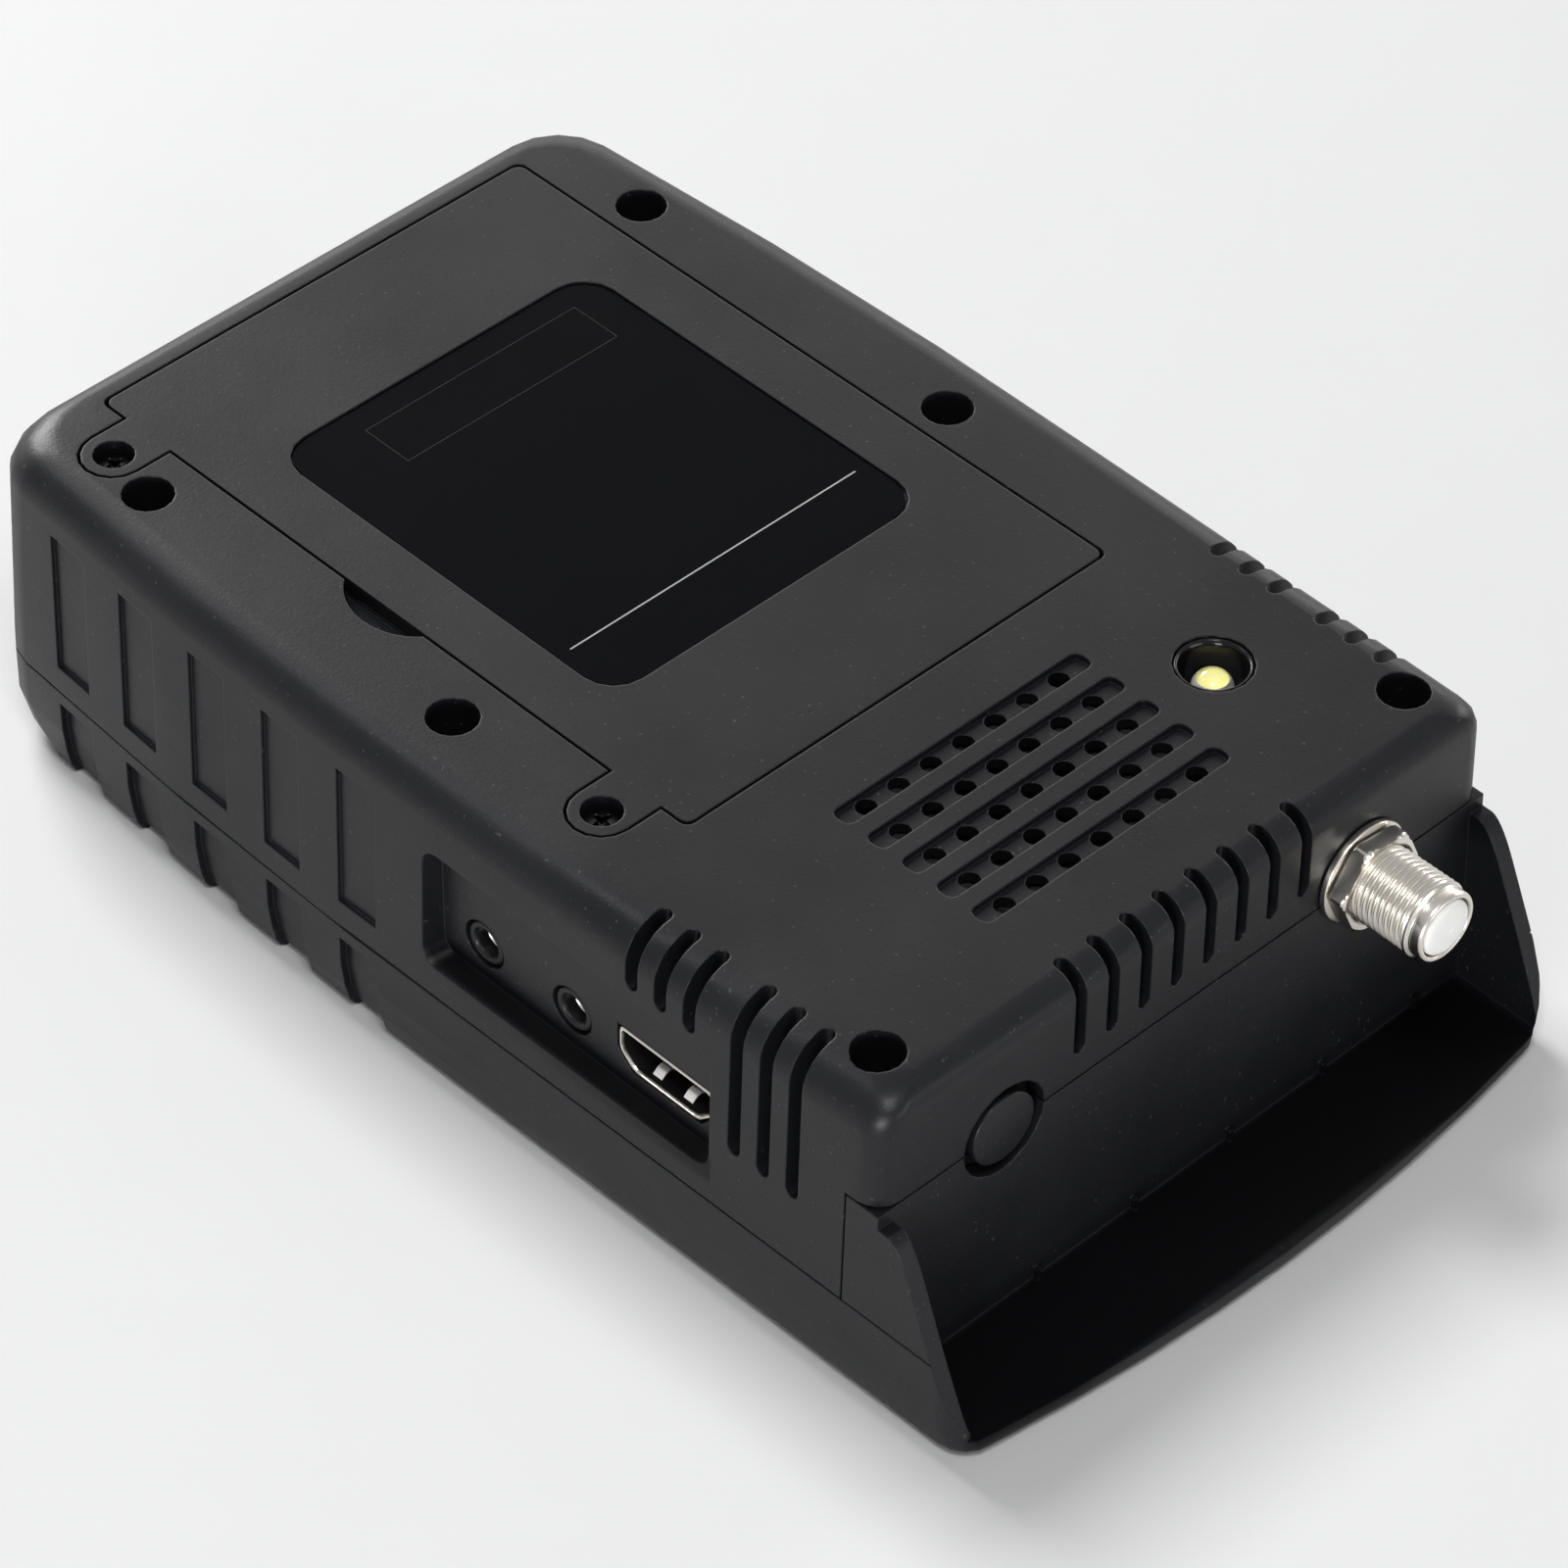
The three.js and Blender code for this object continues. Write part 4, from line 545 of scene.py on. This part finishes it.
def cross_screw(node, centre, seat, head_radius, head_height, shank_radius, length, body):
    """A screw on a polar grid. Its head's top is a shallow dome, less a cross whose two arms narrow
    outwards and deepen towards the middle; its side and shank follow as plain rings."""
    columns = 96
    angle = np.linspace(0, 2 * math.pi, columns, endpoint=False)[None, :]
    share = np.linspace(0, 1, 22)[:, None]
    radius = share * head_radius * 0.93
    x, y = radius * np.cos(angle), radius * np.sin(angle)
    arm_length, arm_half = head_radius * 0.62, head_radius * 0.15
    near = np.minimum(np.abs(x), np.abs(y))
    far = np.maximum(np.abs(x), np.abs(y))
    width = arm_half * (1.15 - 0.35 * far / arm_length)
    in_arm = (np.clip((width - near) / (arm_half * 0.35), 0, 1)
              * np.clip((arm_length - far) / (arm_half * 0.6), 0, 1))
    depth = in_arm * head_height * (0.75 - 0.3 * far / arm_length)
    top = head_height * (1 - 0.16 * share ** 2) - np.maximum(depth, 0)
    rings = [np.stack([x, y, np.broadcast_to(top, x.shape)], axis=-1)]
    for ring_radius, height in (
            (head_radius, head_height * 0.72), (head_radius, 0.06), (head_radius * 0.97, 0),
            (shank_radius, 0), (shank_radius, shank_radius - length),
            (shank_radius * 0.4, -length), (0, -length)):
        rings.append(np.stack([ring_radius * np.cos(angle), ring_radius * np.sin(angle),
                               np.full_like(angle, height)], axis=-1))
    points = np.concatenate(rings, axis=0)
    faces = grid_faces(len(points), columns)[:, ::-1]
    points = points.reshape(-1, 3) + np.array([*centre, seat])
    piece = fill_mesh(node + "_detail", *welded(points, faces))
    return finish_piece(piece, BLACK_ZINC, body, (node,), 50)


# The height of the head's seat, the head's radius and height, and the shank's radius and length
DOOR_SCREW = (41.7, 2.1, 1.4, 1.1, 5.0)
CASE_SCREW = (16.95, 2.75, 2.2, 1.4, 11.0)
for index, x in enumerate(DOOR_SCREW_XS):
    cross_screw(f"door_screw_{index + 1}", (x, DOOR_SCREW_Y), *DOOR_SCREW, "door")
for index, (x, y) in enumerate(CASE_SCREW_PAIRS):
    for side, sign in enumerate((-1, 1)):
        cross_screw(f"case_screw_{2 * index + side + 1}", (x, sign * y), *CASE_SCREW, "case")


# Threaded connector, with heights along x

THREAD_TOP, THREAD_DEPTH, THREAD_PITCH = 4.76, 0.44, 0.794
THREAD_FROM, THREAD_TO = END_FACE_X + 2.2, END_FACE_X + 11.0
THREAD_STEPS, BARREL_COLUMNS = 10, 84
CONNECTOR_TIP = END_FACE_X + 13.0


def thread_grid(steps, columns):
    """Corners and quads of the thread: row r at column c lies at height (r / steps + c / columns)
    pitches, so rows follow the helix, and the last column joins the first one a whole pitch up.
    The radius drops by a rounded wave of the row, fades out at both ends, and heights are held
    between the ends."""
    rows = int((THREAD_TO - THREAD_FROM) / THREAD_PITCH + 4) * steps
    row, column = np.meshgrid(np.arange(rows), np.arange(columns), indexing="ij")
    height = THREAD_FROM + (row / steps + column / columns - 1) * THREAD_PITCH
    height = np.clip(height, THREAD_FROM, THREAD_TO)
    wave = (0.5 - 0.5 * np.cos(2 * math.pi * row / steps)) ** 0.8
    fade = (np.clip((height - THREAD_FROM) / 0.5, 0, 1)
            * np.clip((THREAD_TO - height) / 0.6, 0, 1))
    radius = THREAD_TOP - THREAD_DEPTH * wave * fade
    angle = 2 * math.pi * column / columns
    points = np.stack([height, radius * np.cos(angle), radius * np.sin(angle)], axis=-1)
    points = points.reshape(-1, 3) + np.array(CONNECTOR_CENTRE)
    row, column = np.meshgrid(np.arange(rows - steps - 1), np.arange(columns), indexing="ij")
    wrap = np.where(column == columns - 1, steps, 0)
    beside = (column + 1) % columns
    faces = np.stack([row * columns + column, (row + wrap) * columns + beside,
                      (row + 1 + wrap) * columns + beside, (row + 1) * columns + column], axis=-1)
    return points, faces.reshape(-1, 4)


def joined_grids(*grids):
    """Several grids in one: each later grid's faces count on from the corners before it."""
    starts = np.cumsum([0] + [len(points) for points, faces in grids[:-1]])
    return (np.concatenate([points for points, faces in grids]),
            np.concatenate([faces + start for start, (points, faces) in zip(starts, grids)]))


def nickel_piece(piece, node, crease=35):
    """A nickel-plated piece of the case that stands for one node."""
    return finish_piece(piece, BRIGHT_NICKEL, stands_for=(node,), crease=crease)


BARREL_BACK = [[0, END_FACE_X - 8.5], [4.34, END_FACE_X - 8.5], [4.34, END_FACE_X - 4.0],
               [5.6, END_FACE_X - 4.0], [5.6, END_FACE_X - 2.5], [THREAD_TOP, END_FACE_X - 2.5],
               [THREAD_TOP, THREAD_FROM]]
BARREL_TIP = eased([[THREAD_TOP, THREAD_TO], [4.32, THREAD_TO + 0.25], [4.32, THREAD_TO + 0.5],
                    [4.42, THREAD_TO + 0.6], [4.42, CONNECTOR_TIP - 0.35], [4.2, CONNECTOR_TIP],
                    [3.8, CONNECTOR_TIP], [3.7, CONNECTOR_TIP - 0.2],
                    [3.7, CONNECTOR_TIP - 7.3], [0, CONNECTOR_TIP - 7.3]], 0.18)
barrel = joined_grids(turned_grid(BARREL_BACK, CONNECTOR_CENTRE, "x", BARREL_COLUMNS),
                      thread_grid(THREAD_STEPS, BARREL_COLUMNS),
                      turned_grid(BARREL_TIP, CONNECTOR_CENTRE, "x", BARREL_COLUMNS))
nickel_piece(fill_mesh("connector_barrel_thread", *welded(*barrel)), "connector_barrel", 60)

INSULATOR = eased([[0, CONNECTOR_TIP - 7], [3.5, CONNECTOR_TIP - 7], [3.5, CONNECTOR_TIP - 0.1],
                   [2.9, CONNECTOR_TIP + 0.34], [1.2, CONNECTOR_TIP + 0.48],
                   [0.35, CONNECTOR_TIP + 0.48], [0.25, CONNECTOR_TIP + 0.4],
                   [0, CONNECTOR_TIP + 0.38]], 0.5, 4)
finish_piece(turned("connector_insulator_turned", INSULATOR, CONNECTOR_CENTRE, "x", 48),
             MILKY_PLASTIC, stands_for=("connector_insulator",), crease=60)

WASHER_X = END_FACE_X + 0.15
WASHER = eased([[4.95, WASHER_X + 0.25], [6.42, WASHER_X + 0.02], [6.44, WASHER_X + 0.78],
                [4.95, WASHER_X + 1.02], [4.95, WASHER_X + 0.25]], 0.14)
nickel_piece(turned("connector_washer_turned", WASHER, CONNECTOR_CENTRE, "x", 72),
             "connector_washer")

NUT_X, NUT_THICK, NUT_FLATS, NUT_BORE, NUT_TURN = END_FACE_X + 1.35, 2.1, 11.11, 4.92, 114


def hexagon_ripple(height, angle, radius):
    """Flats: the radius is half the width over the cosine of the angle from the nearest flat's
    middle, held under a cone at the outer face and a steeper one at the inner face. Radii near the
    bore stay."""
    from_flat = (angle - math.radians(NUT_TURN)) % (math.pi / 3) - math.pi / 6
    corner = NUT_FLATS / 2 / math.cos(math.pi / 6)
    flat = np.minimum(NUT_FLATS / 2 / np.cos(from_flat), corner * 0.985)
    cone = np.minimum(corner * 0.9 + (NUT_X + NUT_THICK - height) * 1.6,
                      corner * 0.96 + (height - NUT_X) * 1.6)
    return np.where(radius > 5.2, np.minimum(flat, cone), radius)


NUT_HEIGHTS = np.linspace(0, NUT_THICK, 12)
NUT = np.vstack([
    [[NUT_BORE, NUT_X]],
    np.stack([np.full_like(NUT_HEIGHTS, 6.0), NUT_X + NUT_HEIGHTS], axis=1),
    [[5.15, NUT_X + NUT_THICK], [NUT_BORE, NUT_X + NUT_THICK - 0.2], [NUT_BORE, NUT_X]],
])
nickel_piece(turned("connector_nut_hexagon", NUT, CONNECTOR_CENTRE, "x", 144, hexagon_ripple),
             "connector_nut", 28)


# Blank plug and torch

PLUG_BACK, PLUG_RADIUS, PLUG_FLANGE = END_FACE_X - 2.5, 4.56, 7.4
PLUG = eased([[0, PLUG_BACK - 1.2], [PLUG_FLANGE, PLUG_BACK - 1.2], [PLUG_FLANGE, PLUG_BACK],
              [PLUG_RADIUS, PLUG_BACK], [PLUG_RADIUS, END_FACE_X], [0, END_FACE_X]], 0.28)
finish_piece(turned("blank_plug_turned", PLUG, PLUG_CENTRE, "x", 72),
             CASE_PLASTIC, stands_for=("blank_plug",))

TORCH_FLOOR = BACK_Z - 4.6
REFLECTOR = eased([[2.8, TORCH_FLOOR], [4.4, TORCH_FLOOR], [4.4, BACK_Z - 0.15],
                   [4.12, BACK_Z - 0.15], [3.85, BACK_Z - 0.6], [3.5, BACK_Z - 2.4],
                   [2.8, TORCH_FLOOR + 0.5], [2.8, TORCH_FLOOR]], 0.2)
finish_piece(turned("torch_reflector_turned", REFLECTOR, TORCH_CENTRE, "z", 72),
             REFLECTOR_BLACK, stands_for=("torch_reflector",), crease=45)

DOME_ANGLES = np.linspace(0, math.pi / 2, 14)
LED = np.vstack([
    [[0, LED_TOP - 8.4], [2.85, LED_TOP - 8.4], [2.85, LED_TOP - 7.4], [LED_RADIUS, LED_TOP - 7.4]],
    np.stack([LED_RADIUS * np.cos(DOME_ANGLES),
              LED_TOP - LED_RADIUS * (1 - np.sin(DOME_ANGLES))], axis=1),
])
finish_piece(turned("torch_led_dome", LED, TORCH_CENTRE, "z", 48),
             CLEAR_EPOXY, stands_for=("torch_led",), crease=50)

CHIP_RADIUS, CHIP_TOP, CUP_TOP = 1.5, LED_TOP - 1.75, LED_TOP - 0.95
CHIP = eased([[0, CHIP_TOP - 2.5], [CHIP_RADIUS, CHIP_TOP - 2.5], [CHIP_RADIUS, CHIP_TOP],
              [CHIP_RADIUS * 0.5, CHIP_TOP + 0.12], [0, CHIP_TOP + 0.14]], 0.1)
finish_piece(turned("torch_led_phosphor", CHIP, TORCH_CENTRE, "z", 32), PHOSPHOR)

CUP_BORE = CHIP_RADIUS + 0.03
CUP = eased([[CUP_BORE, CHIP_TOP - 2.5], [2.05, CHIP_TOP - 2.5], [2.05, CHIP_TOP],
             [1.85, CUP_TOP], [1.78, CUP_TOP], [CUP_BORE, CHIP_TOP - 0.02],
             [CUP_BORE, CHIP_TOP - 2.5]], 0.04)
finish_piece(turned("torch_led_cup", CUP, TORCH_CENTRE, "z", 40), MILKY_PLASTIC)


# Side sockets, with heights along y

JACK_LIP_Y = POCKET_FLOOR_Y + 0.5
JACK_LIP = eased([[1.82, JACK_LIP_Y + 0.4], [1.82, JACK_LIP_Y - 0.05], [2.05, JACK_LIP_Y - 0.3],
                  [2.6, JACK_LIP_Y - 0.3], [2.8, JACK_LIP_Y - 0.05], [2.8, JACK_LIP_Y + 0.4],
                  [1.82, JACK_LIP_Y + 0.4]], 0.1)
JACK_SLEEVE = [[1.5, JACK_LIP_Y + 7.5], [1.5, JACK_LIP_Y + 1.7], [1.74, JACK_LIP_Y + 1.5],
               [1.74, JACK_LIP_Y + 7.5], [1.5, JACK_LIP_Y + 7.5]]
for number, x in enumerate(JACK_XS, 1):
    centre = (x, 0, JACK_Z)
    finish_piece(turned(f"av_jack_{number}_lip", JACK_LIP, centre, "y", 48),
                 SMOOTH_BLACK)
    finish_piece(turned(f"av_jack_{number}_sleeve", JACK_SLEEVE, centre, "y", 40),
                 BRIGHT_TIN)


VIDEO_HALF_HEIGHT, VIDEO_SIDE, VIDEO_HALF_TOP, VIDEO_HALF_FOOT = 2.75, 3.3, 7.3, 5.1


def socket_outline(grow, share):
    """The wide socket's outline as a path round (x, z): share runs from 0 to 1 along its eased
    corners."""
    top, foot = VIDEO_HALF_HEIGHT + grow, -VIDEO_HALF_HEIGHT - grow
    shoulder = VIDEO_HALF_HEIGHT - VIDEO_SIDE
    half_top, half_foot = VIDEO_HALF_TOP + grow, VIDEO_HALF_FOOT + grow
    corners = np.array([[0, top], [-half_top, top], [-half_top, shoulder], [-half_foot, foot],
                        [half_foot, foot], [half_top, shoulder], [half_top, top], [0, top]])
    path = eased(corners, 0.7, 4)
    reach = np.concatenate([[0], np.cumsum(np.linalg.norm(np.diff(path, axis=0), axis=1))])
    return np.stack([np.interp(share * reach[-1], reach, path[:, axis]) for axis in (0, 1)],
                    axis=1)


def carried_shell(name, rings):
    """A closed shell: each ring (outline grow, y) carries the socket's outline to its place along
    y."""
    columns = 120
    share = np.linspace(0, 1, columns, endpoint=False)
    points = []
    for grow, y in rings:
        outline = socket_outline(grow, share)
        points.append(np.stack([VIDEO_X + outline[:, 0], np.full(columns, y),
                                VIDEO_Z + outline[:, 1]], axis=1))
    faces = grid_faces(len(rings), columns)[:, ::-1]
    return fill_mesh(name, *welded(np.concatenate(points), faces))


MOUTH_Y = POCKET_FLOOR_Y
SHELL_RINGS = [(-0.4, MOUTH_Y + 11), (-0.4, MOUTH_Y + 0.2), (-0.3, MOUTH_Y + 0.02),
               (-0.1, MOUTH_Y + 0.02), (0, MOUTH_Y + 0.12), (0, MOUTH_Y + 11),
               (-0.4, MOUTH_Y + 11)]
nickel_piece(carried_shell("video_shell_folded", SHELL_RINGS), "hdmi_shell")
# A thin black sheet just inside the metal shell: painted shade that darkens the socket's inside
SHADE_SHEET_RINGS = [(-0.46, MOUTH_Y + 10.8), (-0.46, MOUTH_Y + 0.3), (-0.42, MOUTH_Y + 0.3),
               (-0.42, MOUTH_Y + 10.8), (-0.46, MOUTH_Y + 10.8)]
finish_piece(carried_shell("video_shade_sheet", SHADE_SHEET_RINGS), SMOOTH_BLACK)

PIN_PITCH, PIN_FRONT, PIN_SIZE = 1.0, MOUTH_Y + 2.6, (0.45, 5.2, 0.06)


def pin_row(name, count, level):
    """A row of flat contacts: one box's eight corners, repeated by adding each pin's place."""
    unit = np.array([[x, y, z] for x in (-0.5, 0.5) for y in (0, 1) for z in (0, 1)])
    places = (np.arange(count) - (count - 1) / 2) * PIN_PITCH
    points = unit[None] * np.array(PIN_SIZE) + np.array([VIDEO_X, PIN_FRONT, level])
    points = points + np.stack([places, np.zeros(count), np.zeros(count)], axis=1)[:, None]
    box_faces = np.array([[0, 1, 3, 2], [4, 6, 7, 5], [0, 4, 5, 1], [2, 3, 7, 6], [0, 2, 6, 4],
                          [1, 5, 7, 3]])
    faces = (np.arange(count)[:, None, None] * 8 + box_faces).reshape(-1, 4)
    return finish_piece(fill_mesh(name, points.reshape(-1, 3), faces), CONTACT_GOLD)


pin_row("video_pins_upper", 10, VIDEO_Z + 1.06)
pin_row("video_pins_lower", 9, VIDEO_Z - 0.32)


SPRING_HALF, SPRING_SHIFT = 0.7, 2.4


def leaf_spring(name, x):
    """A bent leaf: its closed side outline (y, z) is carried across the leaf's width, and both ends
    are fans."""
    outline = eased([[MOUTH_Y + 1.0, VIDEO_Z - 2.26], [MOUTH_Y + 1.7, VIDEO_Z - 1.6],
                     [MOUTH_Y + 2.4, VIDEO_Z - 1.42], [MOUTH_Y + 3.4, VIDEO_Z - 2.0],
                     [MOUTH_Y + 3.3, VIDEO_Z - 2.1], [MOUTH_Y + 2.4, VIDEO_Z - 1.56],
                     [MOUTH_Y + 1.78, VIDEO_Z - 1.74], [MOUTH_Y + 1.1, VIDEO_Z - 2.27]], 0.15)
    middle = np.tile(outline.mean(axis=0), (len(outline), 1))
    rings = [(middle, x - SPRING_HALF), (outline, x - SPRING_HALF),
             (outline, x + SPRING_HALF), (middle, x + SPRING_HALF)]
    points = np.concatenate([np.column_stack([np.full(len(ring), place), ring])
                             for ring, place in rings])
    return fill_mesh(name, *welded(points, grid_faces(len(rings), len(outline))[:, ::-1]))


for side, shift in (("left", -SPRING_SHIFT), ("right", SPRING_SHIFT)):
    finish_piece(leaf_spring(f"video_spring_{side}", VIDEO_X + shift), SPRING_TIN)


# Keys, with their outer faces down

KEY_HALF_X, KEY_HALF_Y, KEY_POWER, KEY_STEM_HALF = 3.7, 5.8, 5.5, 1.6
KEY_CROWN, KEY_CROWN_IN, KEY_FLAT_SHARE, KEY_FLANGE = 0.75, 0.9, 0.4, 0.75
# Heights over the key's outer face
KEY_SIDE_TO, KEY_FLANGE_FROM, KEY_FLANGE_TO, KEY_STEM_FROM = 2.3, 2.35, 3.0, 3.1


def key_pad(node):
    """A soft key: a superellipse outline in rings; the rings shrink over a crown towards the outer
    face, and a flange and a stem follow inwards."""
    low, high = (np.array(corner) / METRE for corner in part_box(node))
    middle = (low + high) / 2
    columns = 56
    angle = np.linspace(0, 2 * math.pi, columns, endpoint=False)
    across = np.sign(np.cos(angle)) * np.abs(np.cos(angle)) ** (2 / KEY_POWER)
    along = np.sign(np.sin(angle)) * np.abs(np.sin(angle)) ** (2 / KEY_POWER)
    face = low[2]
    flange_x, flange_y = KEY_HALF_X + KEY_FLANGE, KEY_HALF_Y + KEY_FLANGE
    rings = [(0, 0, high[2]), (KEY_STEM_HALF, KEY_STEM_HALF, high[2]),
             (KEY_STEM_HALF, KEY_STEM_HALF, face + KEY_STEM_FROM),
             (flange_x, flange_y, face + KEY_FLANGE_TO),
             (flange_x, flange_y, face + KEY_FLANGE_FROM),
             (KEY_HALF_X, KEY_HALF_Y, face + KEY_SIDE_TO)]
    for turn in np.linspace(0, math.pi / 2, 8):
        inwards = KEY_CROWN_IN * (1 - math.cos(turn))
        rings.append((KEY_HALF_X - inwards, KEY_HALF_Y - inwards,
                      face + KEY_CROWN * (1 - math.sin(turn))))
    rings += [(KEY_HALF_X * KEY_FLAT_SHARE, KEY_HALF_Y * KEY_FLAT_SHARE, face), (0, 0, face)]
    points = np.concatenate([
        np.stack([middle[0] + x * across, middle[1] + y * along, np.full(columns, z)], axis=1)
        for x, y, z in rings])
    faces = grid_faces(len(rings), columns)[:, ::-1]
    piece = fill_mesh(node + "_pad", *welded(points, faces))
    return finish_piece(piece, KEY_RUBBER, node + "_body", (node,), 50)


for number in range(1, KEY_COUNT + 1):
    key_pad(f"key_{number:02d}")


# Floor, light and camera

CAMERA_AZIMUTH, CAMERA_ELEVATION, CAMERA_ROLL = 45.6, 43.0, 0.64
CAMERA_TARGET, CAMERA_DISTANCE, CAMERA_LENS = Vector((0.0036, 0.0, 0.0188)), 0.790, 160.5
LAMP_TARGET = Vector((0.0, 0.0, 0.02))

FLOOR_FRONT, FLOOR_BACK, FLOOR_HALF, FLOOR_BEND, WALL_TOP = -1500, 900, 3500.0, 500, 2200
FLOOR_SEEN, FLOOR_BOUNCE = 0.78, 0.64
# The backdrop's glow to shiny surfaces: its strength at shares of its height in metres
BACKDROP_TOP, BACKDROP_SHINE = 2.0, 1.8
BACKDROP_GLOW = ((0.02, 0.0), (0.08, 1.0), (0.2, 1.0), (0.45, 0.33), (0.98, 0.14))
SKY_FILL, SKY_SHINE = 0.1, 0.35


def shiny_rays(tree):
    """The light path's outputs, and 1 where a glossy or a transmission ray looks, else 0."""
    rays = tree.nodes.new("ShaderNodeLightPath").outputs
    return rays, math_node(tree, "MAXIMUM", rays["Is Glossy Ray"], rays["Is Transmission Ray"])


def make_floor_paper():
    """Pale paper, paler to the camera than to the meter. Where it stands upright it glows to shiny
    surfaces, by a ramp of its height."""
    material, tree, shader, place = new_material("floor_paper", roughness=0.9,
                                                 specular_ior_level=0.1)
    effect = placed_group(tree, MOULDED_GRAIN, place, 700.0)
    rays, shiny = shiny_rays(tree)
    paper = math_node(tree, "MULTIPLY_ADD", effect["Patches"], 0.02, FLOOR_BOUNCE)
    extra = math_node(tree, "MULTIPLY", rays["Is Camera Ray"], FLOOR_SEEN - FLOOR_BOUNCE)
    tree.links.new(math_node(tree, "ADD", paper, extra), shader.inputs["Base Color"])
    height = split_place(tree, place)[2]
    glow = tree.nodes.new("ShaderNodeValToRGB")
    tree.links.new(math_node(tree, "DIVIDE", height, BACKDROP_TOP), glow.inputs[0])
    stops = glow.color_ramp.elements
    stops.remove(stops[1])
    for rise_share, share in BACKDROP_GLOW:
        stops.new(rise_share).color = (share, share, share, 1.0)
    shine = math_node(tree, "MULTIPLY", glow.outputs["Color"], BACKDROP_SHINE)
    tree.links.new(math_node(tree, "MULTIPLY", shiny, shine), shader.inputs["Emission Strength"])
    shader.inputs["Emission Color"].default_value = (1.0, 0.98, 0.95, 1.0)
    return material


def make_floor():
    """A wide floor that rises behind the meter: flat, then a quarter turn, then upright. Each place
    along its path is carried to both sides, across the camera's heading."""
    turn = np.linspace(0, math.pi / 2, 16)
    run = np.concatenate([[FLOOR_FRONT, FLOOR_BACK], FLOOR_BACK + FLOOR_BEND * np.sin(turn),
                          [FLOOR_BACK + FLOOR_BEND]])
    rise = np.concatenate([[0, 0], FLOOR_BEND * (1 - np.cos(turn)), [WALL_TOP]])
    across = np.array([-FLOOR_HALF, FLOOR_HALF])
    heading = math.radians(CAMERA_AZIMUTH)
    away = np.array([-math.sin(heading), math.cos(heading)])
    beside = np.array([math.cos(heading), math.sin(heading)])
    flat = run[:, None, None] * away + across[None, :, None] * beside
    points = np.concatenate([flat, np.repeat(rise[:, None, None], 2, axis=1)], axis=-1)
    row = np.arange(len(run) - 1) * 2
    faces = np.stack([row, row + 1, row + 3, row + 2], axis=1)
    floor = fill_mesh("floor", points.reshape(-1, 3), faces)
    floor.data.materials.append(make_floor_paper())


def turned_towards(thing, target, roll=0.0):
    """Points the thing's -Z at the target, with its top up, then rolls it by degrees."""
    look = (target - thing.location).to_track_quat("-Z", "Y")
    thing.rotation_euler = look.to_euler()
    thing.rotation_euler.rotate_axis("Z", math.radians(roll))


def around(target, azimuth, elevation, distance):
    """The place that far from the target, in metres, at an azimuth and elevation in degrees."""
    a, e = math.radians(azimuth), math.radians(elevation)
    return target + distance * Vector((math.sin(a) * math.cos(e), -math.cos(a) * math.cos(e),
                                       math.sin(e)))


def soft_lamp(name, azimuth, elevation, distance, size, watts, lights=True, shines=True):
    """A lamp of a width and height in metres that looks at the meter; it may light matt surfaces
    alone, or shine in glossy ones alone."""
    data = bpy.data.lights.new(name, "AREA")
    data.shape = "RECTANGLE"
    data.size, data.size_y = size
    data.energy = watts
    lamp = bpy.data.objects.new(name, data)
    lamp.visible_diffuse, lamp.visible_glossy = lights, shines
    bpy.context.scene.collection.objects.link(lamp)
    lamp.location = around(LAMP_TARGET, azimuth, elevation, distance)
    turned_towards(lamp, LAMP_TARGET)


def make_sky():
    """A dim even world, brighter to shiny surfaces."""
    world = bpy.data.worlds.new("studio")
    bpy.context.scene.world = world
    world.use_nodes = True
    tree = world.node_tree
    sky = tree.nodes["Background"].inputs
    rays, shiny = shiny_rays(tree)
    tree.links.new(math_node(tree, "MULTIPLY_ADD", shiny, SKY_SHINE, SKY_FILL), sky["Strength"])
    sky["Color"].default_value = (0.95, 0.97, 1.0, 1.0)


make_floor()
# Degrees round and up, then distance, width and height in metres, then watts
soft_lamp("lamp_behind", 262, 57, 1.3, (0.45, 0.45), 13.0, shines=False)
soft_lamp("lamp_window", 259, 28, 1.3, (0.5, 0.3), 10.5, lights=False)
soft_lamp("lamp_glint", 298, 50, 1.3, (0.2, 0.2), 1.2, lights=False)
soft_lamp("lamp_corner", 35, 6, 0.85, (0.25, 0.12), 3.0)
soft_lamp("lamp_right", 98, 10, 1.5, (0.9, 0.3), 3.5)
soft_lamp("lamp_front", 47, 62, 1.1, (0.3, 0.3), 4.0)
soft_lamp("lamp_far", 170, 14, 1.5, (0.7, 0.3), 3.0)
make_sky()

camera_data = bpy.data.cameras.new("camera")
camera_data.lens = CAMERA_LENS
camera_data.sensor_width = 36.0
camera_data.clip_end = 20.0
camera = bpy.data.objects.new("camera", camera_data)
bpy.context.scene.collection.objects.link(camera)
camera.location = around(CAMERA_TARGET, CAMERA_AZIMUTH, CAMERA_ELEVATION, CAMERA_DISTANCE)
turned_towards(camera, CAMERA_TARGET, CAMERA_ROLL)
bpy.context.scene.camera = camera
bpy.context.scene.view_settings.view_transform = "Standard"
